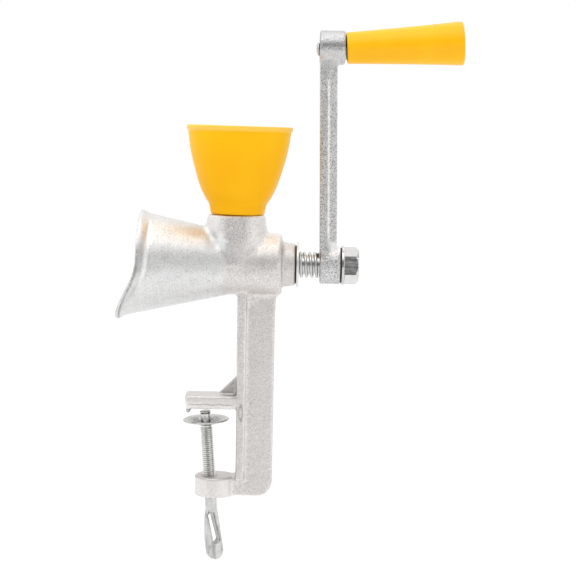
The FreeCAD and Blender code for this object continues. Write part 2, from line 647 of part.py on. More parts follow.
# feed worm: hub with one helical flight
worm = turned("feed_worm", [
    (q("worm_left"), q("worm_bore_rad")),
    (q("worm_right"), q("worm_bore_rad")),
    (q("worm_right"), q("worm_root_rad")),
    (q("worm_left"), q("worm_root_rad")),
])
doc.recompute()
flight = [
    (q("worm_root_rad") - 0.8, 0),
    (q("worm_root_rad") - 0.8, q("worm_flight")),
    (q("worm_out_rad"), q("worm_flight") - 1.2),
    (q("worm_out_rad"), 1.2),
]
sk = sketch(worm, "flight_profile", "XZ_Plane", [([(q("flight_left") + y, x) for x, y in flight], {})])
hx = worm.newObject("PartDesign::AdditiveHelix", "flight")
hx.Profile = sk
hx.ReferenceAxis = (sk, ["H_Axis"])
hx.Mode = 0
hx.Pitch = VAL["worm_pitch"]
hx.setExpression("Pitch", "dims.worm_pitch")
hx.Height = VAL["worm_right"] - VAL["flight_left"] - VAL["worm_flight"]
hx.setExpression("Height", "dims.worm_right - dims.flight_left - dims.worm_flight")
doc.recompute()
sk = sketch(worm, "worm_pin_plan", "XY_Plane", [], [(q("worm_pin_x"), 0, q("worm_pin_rad") + 0.02)])
feature(worm, "Pocket", sk, "worm_pin_hole", Type="ThroughAll", Midplane=True)
place(worm, 0, 0, q("shaft_z"))
hand_in(worm, "feed_worm")
doc.recompute()
print("worm", worm.Shape.isValid(), len(worm.Shape.Solids), worm.Shape.BoundBox.XMin, worm.Shape.BoundBox.XMax, worm.Shape.BoundBox.ZMax - 90)

worm_pin = turned("worm_pin", [
    (-q("worm_pin_long") / 2.0, 0),
    (q("worm_pin_long") / 2.0, 0),
    (q("worm_pin_long") / 2.0, q("worm_pin_rad") - 0.3),
    (q("worm_pin_long") / 2.0 - 0.3, q("worm_pin_rad")),
    (-q("worm_pin_long") / 2.0 + 0.3, q("worm_pin_rad")),
    (-q("worm_pin_long") / 2.0, q("worm_pin_rad") - 0.3),
], along="Z")
place(worm_pin, q("worm_pin_x"), 0, q("shaft_z"))
hand_in(worm_pin, "worm_pin")


def toothed(label, verts, tooth, count):
    """A turned burr with straight flutes, one cut and repeated round the axis."""
    b = turned(label, verts)
    doc.recompute()
    s = sketch(b, label + "_flute_end", "YZ_Plane", [(tooth[0], {})], off=(0, 0, tooth[1]))
    before_ = b.Tip.Shape.Volume
    p = feature(b, "Pocket", s, label + "_flute", Length=tooth[2], Reversed=True)
    doc.recompute()
    print(label, "flute takes", round(before_ - b.Tip.Shape.Volume, 1))
    pat = b.newObject("PartDesign::PolarPattern", label + "_flutes")
    pat.Originals = [p]
    pat.Axis = (s, ["N_Axis"])
    pat.Angle = 360.0
    pat.Occurrences = int(VAL[count])
    pat.setExpression("Occurrences", "dims." + count)
    b.Tip = pat
    doc.recompute()
    return b


rotor = toothed("rotor_burr", [
    (q("burr_left"), q("burr_bore_rad")),
    (q("burr_right"), q("burr_bore_rad")),
    (q("burr_right"), q("burr_small_rad")),
    (q("burr_left") + 2.5, q("burr_big_rad")),
    (q("burr_left"), q("burr_big_rad")),
], ([(-1.1, q("burr_small_rad") - q("groove_deep")), (1.1, q("burr_small_rad") - q("groove_deep")), (2.4, q("burr_big_rad") + 2.0), (-2.4, q("burr_big_rad") + 2.0)],
    q("burr_left") + 2.5, q("burr_right") - q("burr_left") + 1.0), "groove_count")
place(rotor, 0, 0, q("shaft_z"))
hand_in(rotor, "rotor_burr")

stator = toothed("stator_burr", [
    (q("stator_left"), q("stator_big_rad")),
    (q("stator_seat_x") - 0.05, q("stator_small_rad")),
    (q("stator_seat_x") - 0.05, q("stator_out_rad")),
    (q("stator_left"), q("stator_out_rad")),
], ([(-0.9, q("stator_small_rad") - 2.0), (0.9, q("stator_small_rad") - 2.0), (0.7, q("stator_big_rad") + 0.7), (-0.7, q("stator_big_rad") + 0.7)],
    q("stator_left") - 1.0, q("stator_seat_x") - q("stator_left") + 2.0), "groove_count")
place(stator, 0, 0, q("shaft_z"))
hand_in(stator, "stator_burr")

# washer and screw that hold the burr against the worm's hub
wx = q("burr_left")
ring("burr_washer", wx - q("burr_washer_thick") - 0.02, wx - 0.02, q("burr_screw_hole") + 0.1, q("burr_washer_rad"))
bx = wx - q("burr_washer_thick") - 0.04
burr_screw = turned("burr_screw", [
    (bx - q("burr_head_len"), 0),
    (bx + q("burr_screw_long") - 1.0, 0),
    (bx + q("burr_screw_long") - 1.0, q("burr_screw_rad") - 0.6),
    (bx + q("burr_screw_long") - 1.6, q("burr_screw_rad")),
    (bx, q("burr_screw_rad")),
    (bx, q("burr_head_rad")),
    (bx - q("burr_head_len") + 1.2, q("burr_head_rad")),
    (bx - q("burr_head_len"), q("burr_head_rad") - 1.2),
])
doc.recompute()
slot = [(-q("burr_head_rad") - 1.0, -q("burr_slot") / 2.0), (q("burr_head_rad") + 1.0, -q("burr_slot") / 2.0), (q("burr_head_rad") + 1.0, q("burr_slot") / 2.0), (-q("burr_head_rad") - 1.0, q("burr_slot") / 2.0)]
sk = sketch(burr_screw, "slot_end", "YZ_Plane", [(slot, {})], off=(0, 0, bx - q("burr_head_len") - 1.0))
before = burr_screw.Tip.Shape.Volume
feature(burr_screw, "Pocket", sk, "slot", Length=Q.of(2.6) * Q.of(1.0), Reversed=True)
doc.recompute()
print("slot takes", round(before - burr_screw.Tip.Shape.Volume, 1))
place(burr_screw, 0, 0, q("shaft_z"))
hand_in(burr_screw, "burr_screw")

# rear bush, and the washers that the spring bears on
ring("shaft_bush", q("bush_left") + 0.02, q("rear_boss_end") - 0.05, q("bush_in_rad"), q("bush_out_rad"))
ring("boss_fibre_washer", q("rear_boss_end") + 0.02, q("rear_boss_end") + q("fibre_thick") - 0.05, q("washer_bore_rad") + 0.3, q("fibre_rad"))
ring("thrust_washer", q("rear_boss_end") + q("fibre_thick"), q("rear_boss_end") + q("fibre_thick") + q("thrust_thick"), q("washer_bore_rad"), q("thrust_rad"))

# compression spring
spring = new_body("tension_spring")
mean = q("spring_out_rad") - q("wire_dia") / 2.0
sk = sketch(spring, "wire_section", "XZ_Plane", [], [(q("spring_left") + q("wire_dia") / 2.0, mean, q("wire_dia") / 2.0)])
coil = spring.newObject("PartDesign::AdditiveHelix", "coil")
coil.Profile = sk
coil.ReferenceAxis = (sk, ["H_Axis"])
coil.Mode = 2
coil.Height = VAL["spring_right"] - VAL["spring_left"] - VAL["wire_dia"]
coil.setExpression("Height", "dims.spring_right - dims.spring_left - dims.wire_dia")
coil.Turns = VAL["spring_turns"]
coil.setExpression("Turns", "dims.spring_turns")
place(spring, 0, 0, q("shaft_z"))
hand_in(spring, "tension_spring")
doc.recompute()
print("spring", spring.Shape.isValid(), [round(c, 2) for c in (spring.Shape.BoundBox.XMin, spring.Shape.BoundBox.XMax)])

# ---------------------------------------------------------------- crank
crank = new_body("crank_arm")
hub = [
    (q("hub_left"), 0), (q("hub_right"), 0), (q("hub_right"), q("hub_rad") - 0.8), (q("hub_right") - 0.8, q("hub_rad")),
    (q("hub_left") + 0.8, q("hub_rad")), (q("hub_left"), q("hub_rad") - 0.8),
]
sk = sketch(crank, "hub_profile", "XZ_Plane", [(hub, {})])
revolve(crank, sk, "hub")
half = q("arm_wide") / 2.0


def arm_section(name, x0, z_):
    """Six-sided section of the arm: its two drafted faces meet at a parting line."""
    x1 = x0 + q("arm_thick")
    xm = x0 + q("arm_thick") / 2.0
    pts = [(x0, -half + q("arm_draft")), (xm, -half), (x1, -half + q("arm_draft")), (x1, half - q("arm_draft")), (xm, half), (x0, half - q("arm_draft"))]
    return sketch(crank, name, "XY_Plane", [(pts, {})], off=(0, 0, z_))


low_sec = arm_section("arm_low", q("hub_left"), Q.of(0.0) * Q.of(1.0))
top_sec = arm_section("arm_top", q("hub_left") - q("arm_lean"), q("crank_rad"))
doc.recompute()
arm = crank.newObject("PartDesign::AdditiveLoft", "arm")
arm.Profile = low_sec
arm.Sections = [top_sec]
arm.Ruled = True
doc.recompute()
boss = [
    (q("arm_boss_left"), 0), (q("arm_boss_right"), 0), (q("arm_boss_right"), q("arm_boss_rad") - 0.8), (q("arm_boss_right") - 0.8, q("arm_boss_rad")),
    (q("arm_boss_left") + 0.8, q("arm_boss_rad")), (q("arm_boss_left"), q("arm_boss_rad") - 0.8),
]
sk = sketch(crank, "boss_profile", "XZ_Plane", [(boss, {})], off=(0, q("crank_rad"), 0))
revolve(crank, sk, "pin_boss")
doc.recompute()
# hub bore with two flats that match the shaft
bore_pts = []
half_flat = q("hub_flat_across") / 2.0
chord = Q(math.sqrt(VAL["hub_bore_rad"] ** 2 - (VAL["hub_flat_across"] / 2) ** 2), "sqrt(dims.hub_bore_rad^2 - (dims.hub_flat_across / 2)^2)")
loop = [(-chord, -half_flat), (chord, -half_flat), (chord, half_flat), (-chord, half_flat)]
sk = sketch(crank, "hub_bore_end", "YZ_Plane", [(loop, {1: (q("hub_bore_rad"), -1), 3: (q("hub_bore_rad"), -1)})], off=(0, 0, q("hub_left") - 1.0))
before = crank.Tip.Shape.Volume
feature(crank, "Pocket", sk, "hub_bore", Length=q("hub_right") - q("hub_left") + 2.0, Reversed=True)
doc.recompute()
print("hub bore takes", round(before - crank.Tip.Shape.Volume))
# leaning hole for the grip's pin
pin_x, pin_z = q("arm_boss_left"), q("crank_rad") - 1.1
pin_hole = [(-6.0, 0), (40.0, 0), (40.0, q("pin_hole_rad")), (-6.0, q("pin_hole_rad"))]
sk = sketch(crank, "pin_hole_profile", "XZ_Plane", [([(Q.of(a), b) for a, b in pin_hole], {})], off=(pin_x, pin_z, 0), turn=q("pin_lean"))
before = crank.Tip.Shape.Volume
revolve(crank, sk, "pin_bore", "H_Axis", "Groove")
doc.recompute()
print("pin bore takes", round(before - crank.Tip.Shape.Volume))


def arm_root(e):
    p = e.valueAt((e.FirstParameter + e.LastParameter) / 2)
    rh = math.hypot(p.y, p.z)
    rb = math.hypot(p.y, p.z - VAL["crank_rad"])
    x0 = VAL["hub_left"]
    inside = 66.5 < p.x < 78.0
    return inside and (abs(rh - VAL["hub_rad"]) < 0.4 and p.z > 6 or abs(rb - VAL["arm_boss_rad"]) < 0.4 and p.z < VAL["crank_rad"] - 4) and e.Length > 3


try_fillet(crank, "arm_root_fillet", Q.of(1.5) * Q.of(1.0), arm_root)
place(crank, 0, 0, q("shaft_z"))
hand_in(crank, "crank_arm")

ring("hub_fibre_washer", q("hub_right") + 0.02, q("hub_right") + q("hub_fibre_thick"), q("washer_bore_rad"), q("hub_fibre_rad"))
nut_x = q("hub_right") + q("hub_fibre_thick") + 0.05
ring("nut_washer", nut_x, nut_x + q("nut_washer_thick"), q("washer_bore_rad"), q("nut_washer_rad"))

# hexagon nut with chamfered corners: a hexagon prism trimmed by a turned blank
nut = new_body("hex_nut")
n0 = nut_x + q("nut_washer_thick") + 0.02
af = q("nut_across") / 2.0
ac = q("nut_across") / math.sqrt(3.0)
hexa = [(0, ac), (-af, ac / 2.0), (-af, -ac / 2.0), (0, -ac), (af, -ac / 2.0), (af, ac / 2.0)]
sk = sketch(nut, "hexagon", "YZ_Plane", [(hexa, {})], [(0, 0, q("nut_bore_rad"))], off=(0, 0, n0), turn=-4.0)
feature(nut, "Pad", sk, "prism", Length=q("nut_thick"))
doc.recompute()
trim = [(n0 + q("nut_thick") + 1.0, af - 1.4), (n0 + q("nut_thick") + 1.0, ac + 3.0), (n0 + q("nut_thick") - 2.6, ac + 3.0), (n0 + q("nut_thick") - 2.6, ac + 0.5)]
sk = sketch(nut, "nut_trim", "XZ_Plane", [(trim, {})])
before = nut.Tip.Shape.Volume
revolve(nut, sk, "corner_chamfer", "H_Axis", "Groove")
doc.recompute()
print("nut chamfer takes", round(before - nut.Tip.Shape.Volume, 1))
place(nut, 0, 0, q("shaft_z"))
hand_in(nut, "hex_nut")

# grip pin, spacer washer and grip, on the pin's leaning axis; station 0 is the boss's outer face
grip0 = Q(VAL["grip_left"] - VAL["arm_boss_left"], "(dims.grip_left - dims.arm_boss_left)")
grip_pin = turned("grip_pin", [
    (-q("pin_peen_len"), 0),
    (grip0 + q("grip_long") - 1.2, 0),
    (grip0 + q("grip_long") - 1.2, q("pin_head_rad") - 1.0),
    (grip0 + q("grip_long") - 2.2, q("pin_head_rad")),
    (grip0 + q("grip_long") - 1.2 - q("pin_head_len"), q("pin_head_rad")),
    (grip0 + q("grip_long") - 1.2 - q("pin_head_len"), q("pin_rad")),
    (-0.35, q("pin_rad")),
    (-0.35, q("pin_peen_rad")),
    (-1.0, q("pin_peen_rad")),
    (-q("pin_peen_len"), q("pin_peen_rad") - 1.2),
])
grip_washer = turned("grip_washer", [
    (grip0 - q("grip_washer_thick") - 0.1, q("pin_hole_rad") + 0.1),
    (grip0 - 0.1, q("pin_hole_rad") + 0.1),
    (grip0 - 0.1, q("grip_washer_rad")),
    (grip0 - q("grip_washer_thick") - 0.1, q("grip_washer_rad")),
])
gl, gs, gb = q("grip_long"), q("grip_small_rad"), q("grip_big_rad")
grip = turned("crank_grip", [
    (grip0, q("grip_bore_rad")),
    (grip0 + gl - q("grip_well_deep"), q("grip_bore_rad")),
    (grip0 + gl - q("grip_well_deep"), q("grip_well_rad")),
    (grip0 + gl, q("grip_well_rad")),
    (grip0 + gl, gb - q("grip_edge")),
    (grip0 + gl - q("grip_edge"), gb),
    (grip0 + gl * 0.75, gs + (gb - gs) * 0.72),
    (grip0 + gl * 0.5, gs + (gb - gs) * 0.46),
    (grip0 + gl * 0.25, gs + (gb - gs) * 0.22),
    (grip0 + 0.8, gs),
    (grip0, gs - 0.8),
], {4: (q("grip_edge"), 1)})
for b, label in ((grip_pin, "grip_pin"), (grip_washer, "grip_washer"), (grip, "crank_grip")):
    place(b, pin_x, 0, q("shaft_z") + pin_z, Vector(0, -1, 0), q("pin_lean"))
    hand_in(b, label)

# ---------------------------------------------------------------- clamp screw and pressure disc
screw = new_body("clamp_screw")
rod = [
    (0, q("screw_tip")),
    (0, q("screw_stem_low")),
    (q("screw_stem_rad"), q("screw_stem_low")),
    (q("screw_stem_rad"), q("screw_thread_low")),
    (q("screw_root_rad"), q("screw_thread_low") + 0.3),
    (q("screw_root_rad"), q("screw_shoulder") - 0.8),
    (q("screw_neck_rad") + 0.35, q("screw_shoulder")),
    (q("screw_neck_rad"), q("screw_shoulder")),
    (q("screw_neck_rad"), q("screw_tip") - q("screw_head_len")),
    (q("screw_head_rad"), q("screw_tip") - q("screw_head_len") + 0.4),
    (q("screw_head_rad") - 0.5, q("screw_tip")),
]
sk = sketch(screw, "rod_profile", "XZ_Plane", [(rod, {})])
revolve(screw, sk, "rod", "V_Axis")
doc.recompute()
# helical thread ridge, seated into the root
p = q("screw_pitch")
ridge = [
    (q("screw_root_rad") - 0.25, q("screw_thread_low") + 0.4),
    (q("screw_rad"), q("screw_thread_low") + 0.4 + p * 0.40),
    (q("screw_rad"), q("screw_thread_low") + 0.4 + p * 0.52),
    (q("screw_root_rad") - 0.25, q("screw_thread_low") + 0.4 + p * 0.92),
]
sk = sketch(screw, "thread_profile", "XZ_Plane", [(ridge, {})])
th = screw.newObject("PartDesign::AdditiveHelix", "thread")
th.Profile = sk
th.ReferenceAxis = (sk, ["V_Axis"])
th.Mode = 0
th.Pitch = VAL["screw_pitch"]
th.setExpression("Pitch", "dims.screw_pitch")
th.Height = VAL["screw_shoulder"] - VAL["screw_thread_low"] - 2.2
th.setExpression("Height", "dims.screw_shoulder - dims.screw_thread_low - 2.2")
doc.recompute()
print("thread", th.State, screw.Shape.isValid(), len(screw.Shape.Solids), round(screw.Shape.Volume), round(screw.Shape.BoundBox.XMax, 3))

# flattened eye at the foot of the rod: a paddle that leans at its foot, with a long slot through it,
# turned about the screw's axis
eye = doc.addObject("PartDesign::Body", "eye_paddle")
bow_x, bow_r = VAL["eye_bow_x"], VAL["eye_bow_rad"]
bow_z = VAL["eye_low"] + bow_r
top_z, neck_r, belly = VAL["eye_top"], VAL["eye_neck_rad"], VAL["eye_belly"]
# right side: the straight tangent from the neck to the bow
reach = math.hypot(neck_r - bow_x, top_z - bow_z)
aim = math.atan2(top_z - bow_z, neck_r - bow_x) - math.acos(bow_r / reach)
touch_r = (bow_x + bow_r * math.cos(aim), bow_z + bow_r * math.sin(aim))
# left side: a long arc through the neck that runs on into the bow
gap = math.hypot(-neck_r - bow_x, top_z - bow_z)
dir_n = ((-neck_r - bow_x) / gap, (top_z - bow_z) / gap)
along = (gap * gap + (belly - bow_r) ** 2 - belly * belly) / (2.0 * gap)
off = math.sqrt((belly - bow_r) ** 2 - along * along)
mid_b = (bow_x + dir_n[0] * along + dir_n[1] * off, bow_z + dir_n[1] * along - dir_n[0] * off)
way = math.hypot(bow_x - mid_b[0], bow_z - mid_b[1])
touch_l = (bow_x + (bow_x - mid_b[0]) / way * bow_r, bow_z + (bow_z - mid_b[1]) / way * bow_r)
outline = [
    (-q("eye_neck_rad"), q("eye_top")),
    touch_l,
    (q("eye_bow_x"), q("eye_low")),
    touch_r,
    (q("eye_neck_rad"), q("eye_top")),
]
sk = sketch(eye, "eye_outline", "XZ_Plane", [(outline, {0: (q("eye_belly"), -1), 1: (q("eye_bow_rad"), -1), 2: (q("eye_bow_rad"), -1)})])
feature(eye, "Pad", sk, "paddle", Length=q("eye_thick"), Midplane=True)
doc.recompute()
print("paddle", eye.Shape.isValid(), round(eye.Shape.Volume))


def flat_edge(e):
    return e.BoundBox.YLength < 1e-4 and abs(abs(e.BoundBox.Center.y) - VAL["eye_thick"] / 2.0) < 1e-3


try_fillet(eye, "eye_rounding", q("eye_edge"), lambda e: flat_edge(e) and e.BoundBox.Center.z < VAL["eye_top"] - 0.5)
tight, wide = q("slot_top_rad"), q("slot_low_rad")
span = math.hypot(VAL["slot_low_x"] - VAL["slot_top_x"], VAL["slot_top"] - VAL["slot_low"])
tilt = math.atan2(VAL["slot_top_x"] - VAL["slot_low_x"], VAL["slot_top"] - VAL["slot_low"])
open_ = math.asin((wide.val - tight.val) / span)


def rim_point(cx, cz, r, ang):
    """A point of one of the slot's end arcs, at an angle from the slot's own axis."""
    return (cx - r * math.sin(ang), cz + r * math.cos(ang))


left, right = math.pi / 2 - open_ + tilt, -(math.pi / 2 - open_) + tilt
slot = [
    rim_point(q("slot_top_x"), q("slot_top"), tight, left),
    rim_point(q("slot_low_x"), q("slot_low"), wide, left),
    rim_point(q("slot_low_x"), q("slot_low"), wide, math.pi + tilt),
    rim_point(q("slot_low_x"), q("slot_low"), wide, right),
    rim_point(q("slot_top_x"), q("slot_top"), tight, right),
]
sk = sketch(eye, "eye_slot", "XZ_Plane", [(slot, {1: (wide, -1), 2: (wide, -1), 4: (tight, -1)})])
feature(eye, "Pocket", sk, "slot_cut", Type="ThroughAll", Midplane=True)
doc.recompute()
print("slotted", eye.Shape.isValid(), round(eye.Shape.Volume))

print("eye", eye.Shape.isValid(), round(eye.Shape.Volume), [round(c, 2) for c in (eye.Shape.BoundBox.XMin, eye.Shape.BoundBox.XMax, eye.Shape.BoundBox.ZMin, eye.Shape.BoundBox.ZMax)])
place(eye, 0, 0, 0, Vector(0, 0, 1), q("eye_turn"))
doc.recompute()
clamp = doc.addObject("Part::MultiFuse", "clamp_screw_fused")
clamp.Shapes = [screw, eye]
clamp.Refine = False
place(clamp, q("screw_x"), 0, 0, Vector(0, -1, 0), q("screw_lean"))
hand_in(clamp, "clamp_screw")
screw.Label = "screw_rod"
clamp.Label = "clamp_screw"
doc.recompute()
print("clamp screw", clamp.Shape.isValid(), len(clamp.Shape.Solids), round(clamp.Shape.Volume))

ds = q("disc_sheet")
disc = turned("pressure_disc", [
    (q("disc_low"), q("disc_hole_rad")),
    (q("disc_low"), q("disc_flat_rad")),
    (q("disc_low") + 1.0, q("disc_flat_rad") + 1.6),
    (q("disc_low") + 1.95, q("disc_flat_rad") + 4.2),
    (q("disc_rim") - 0.95, q("disc_rad") - 2.1),
    (q("disc_rim") - 0.7, q("disc_rad") - 0.35),
    (q("disc_rim") - 0.35, q("disc_rad")),
    (q("disc_rim"), q("disc_rad") - 0.15),
    (q("disc_rim") + 0.3, q("disc_rad") - 1.1),
    (q("disc_rim") + 0.25, q("disc_rad") - 2.3),
    (q("disc_low") + 1.95 + ds, q("disc_flat_rad") + 3.9),
    (q("disc_low") + 1.0 + ds, q("disc_flat_rad") + 1.2),
    (q("disc_low") + ds, q("disc_flat_rad") - 0.4),
    (q("disc_low") + ds, q("disc_hole_rad")),
], along="Z")
# it rocks on the screw's neck, dipping towards the front
lean_turn = Rotation(Vector(0, -1, 0), VAL["screw_lean"])
own_turn = Rotation(Vector(0, -1, 0), VAL["disc_lean"])
dip_turn = Rotation(Vector(1, 0, 0), VAL["disc_tilt"])
pivot = Vector(0, 0, VAL["disc_low"] + VAL["disc_sheet"] / 2.0)
both = own_turn.multiply(dip_turn)
shift = lean_turn.multVec(pivot) - both.multVec(pivot)
disc.Placement = Placement(Vector(VAL["screw_x"], 0, 0) + shift, both)
disc.setExpression("Placement.Base.x", "dims.screw_x + %r" % shift.x)
hand_in(disc, "pressure_disc")

doc.recompute()

# ---------------------------------------------------------------- check and write
bad = []
for o in doc.Objects:
    if "Invalid" in o.State or "Error" in o.State:
        bad.append("%s is %s" % (o.Name, o.State))
for o, label in PARTS:
    s = o.Shape
    if s.isNull() or not s.isValid():
        bad.append("%s has no sound shape" % label)
    elif len(s.Solids) != 1:
        bad.append("%s has %d solids" % (label, len(s.Solids)))
if bad:
    raise RuntimeError("; ".join(bad))
os.makedirs("parts", exist_ok=True)
for o, label in PARTS:
    o.Shape.exportStep("parts/%s.step" % label)
print(len(PARTS), "sub-parts written")
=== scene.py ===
import bpy, bmesh, json, math
import numpy as np
from mathutils import Matrix, Vector, noise


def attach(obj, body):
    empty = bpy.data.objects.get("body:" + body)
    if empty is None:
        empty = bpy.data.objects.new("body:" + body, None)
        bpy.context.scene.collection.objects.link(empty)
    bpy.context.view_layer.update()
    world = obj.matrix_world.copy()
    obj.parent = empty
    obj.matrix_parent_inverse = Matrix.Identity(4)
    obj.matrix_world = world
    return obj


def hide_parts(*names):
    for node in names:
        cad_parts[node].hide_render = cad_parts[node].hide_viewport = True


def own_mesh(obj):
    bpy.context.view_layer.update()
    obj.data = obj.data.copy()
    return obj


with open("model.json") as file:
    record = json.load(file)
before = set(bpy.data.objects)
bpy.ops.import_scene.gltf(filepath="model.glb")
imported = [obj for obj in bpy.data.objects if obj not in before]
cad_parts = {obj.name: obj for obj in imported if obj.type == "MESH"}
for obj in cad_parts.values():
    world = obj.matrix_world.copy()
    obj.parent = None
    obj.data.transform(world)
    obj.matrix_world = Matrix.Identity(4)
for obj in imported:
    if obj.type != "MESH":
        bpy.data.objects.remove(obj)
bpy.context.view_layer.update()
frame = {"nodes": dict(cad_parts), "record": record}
scene = bpy.context.scene
scene.view_settings.view_transform = "Standard"
scene.view_settings.look = "None"
NODES = frame["nodes"]
MM = 0.001
SHAFT_Z = 90.0

# ------------------------------------------------------------------ materials


class Net:
    """A small helper for building a node material."""

    def __init__(self, name):
        self.mat = bpy.data.materials.new(name)
        self.mat.use_nodes = True
        self.tree = self.mat.node_tree
        self.tree.nodes.clear()
        self.out = self.add("ShaderNodeOutputMaterial")
        self.bsdf = self.add("ShaderNodeBsdfPrincipled")
        self.tree.links.new(self.bsdf.outputs[0], self.out.inputs[0])
        self.coord = self.add("ShaderNodeTexCoord")

    def add(self, kind, **props):
        n = self.tree.nodes.new(kind)
        for k, v in props.items():
            setattr(n, k, v)
        return n

    def link(self, a, b):
        self.tree.links.new(a, b)

    def set(self, **values):
        for k, v in values.items():
            self.bsdf.inputs[k.replace("_", " ")].default_value = v

    def mapping(self, scale=(1, 1, 1), loc=(0, 0, 0), rot=(0, 0, 0)):
        m = self.add("ShaderNodeMapping")
        m.inputs["Scale"].default_value = scale
        m.inputs["Location"].default_value = loc
        m.inputs["Rotation"].default_value = rot
        self.link(self.coord.outputs["Object"], m.inputs["Vector"])
        return m.outputs[0]

    def noise(self, scale, detail=3.0, rough=0.55, vec=None, distortion=0.0):
        n = self.add("ShaderNodeTexNoise")
        n.inputs["Scale"].default_value = scale
        n.inputs["Detail"].default_value = detail
        n.inputs["Roughness"].default_value = rough
        n.inputs["Distortion"].default_value = distortion
        self.link(vec if vec is not None else self.coord.outputs["Object"], n.inputs["Vector"])
        return n.outputs["Fac"]

    def voronoi(self, scale, feature="F1", vec=None, rand=1.0):
        n = self.add("ShaderNodeTexVoronoi", feature=feature)
        n.inputs["Scale"].default_value = scale
        n.inputs["Randomness"].default_value = rand
        self.link(vec if vec is not None else self.coord.outputs["Object"], n.inputs["Vector"])
        return n.outputs["Distance"]

    def ramp(self, fac, stops):
        r = self.add("ShaderNodeValToRGB")
        e = r.color_ramp.elements
        while len(e) < len(stops):
            e.new(0.5)
        for el, (pos, col) in zip(e, stops):
            el.position = pos
            el.color = col if len(col) == 4 else (*col, 1.0)
        self.link(fac, r.inputs["Fac"])
        return r.outputs["Color"]

    def span(self, fac, a0, a1, b0, b1, clamp=True):
        n = self.add("ShaderNodeMapRange", clamp=clamp)
        for k, v in zip(("From Min", "From Max", "To Min", "To Max"), (a0, a1, b0, b1)):
            n.inputs[k].default_value = v
        self.link(fac, n.inputs["Value"])
        return n.outputs["Result"]

    def math(self, op, a, b=None):
        n = self.add("ShaderNodeMath", operation=op)
        for i, v in enumerate((a, b)):
            if v is None:
                continue
            if isinstance(v, (int, float)):
                n.inputs[i].default_value = v
            else:
                self.link(v, n.inputs[i])
        return n.outputs[0]

    def mix(self, fac, a, b, blend="MIX"):
        n = self.add("ShaderNodeMix", data_type="RGBA", blend_type=blend)
        for i, v in ((0, fac), (6, a), (7, b)):
            if isinstance(v, (int, float)):
                n.inputs[i].default_value = v
            elif isinstance(v, tuple):
                n.inputs[i].default_value = v if len(v) == 4 else (*v, 1.0)
            else:
                self.link(v, n.inputs[i])
        return n.outputs[2]

    def mixf(self, fac, a, b):
        n = self.add("ShaderNodeMix", data_type="FLOAT")
        for i, v in ((0, fac), (2, a), (3, b)):
            if isinstance(v, (int, float)):
                n.inputs[i].default_value = v
            else:
                self.link(v, n.inputs[i])
        return n.outputs[0]

    def mark(self, name):
        """A number stored on the mesh's points."""
        n = self.add("ShaderNodeAttribute", attribute_name=name)
        return n.outputs["Fac"]

    def band(self, v, a0, a1, b0, b1):
        """1 between a1 and b0, fading to 0 at a0 and b1."""
        return self.math("MULTIPLY", self.span(v, a0, a1, 0.0, 1.0), self.span(v, b0, b1, 1.0, 0.0))

    def all_of(self, *masks):
        out = masks[0]
        for m in masks[1:]:
            out = self.math("MULTIPLY", out, m)
        return out

    def xyz(self):
        n = self.add("ShaderNodeSeparateXYZ")
        self.link(self.coord.outputs["Object"], n.inputs[0])
        return n.outputs

    def color(self, c):
        self.link(c, self.bsdf.inputs["Base Color"])

    def rough(self, r):
        self.link(r, self.bsdf.inputs["Roughness"])

    def bump(self, height, distance, strength=1.0):
        b = self.add("ShaderNodeBump")
        b.inputs["Strength"].default_value = strength
        b.inputs["Distance"].default_value = distance
        self.link(height, b.inputs["Height"])
        self.link(b.outputs[0], self.bsdf.inputs["Normal"])


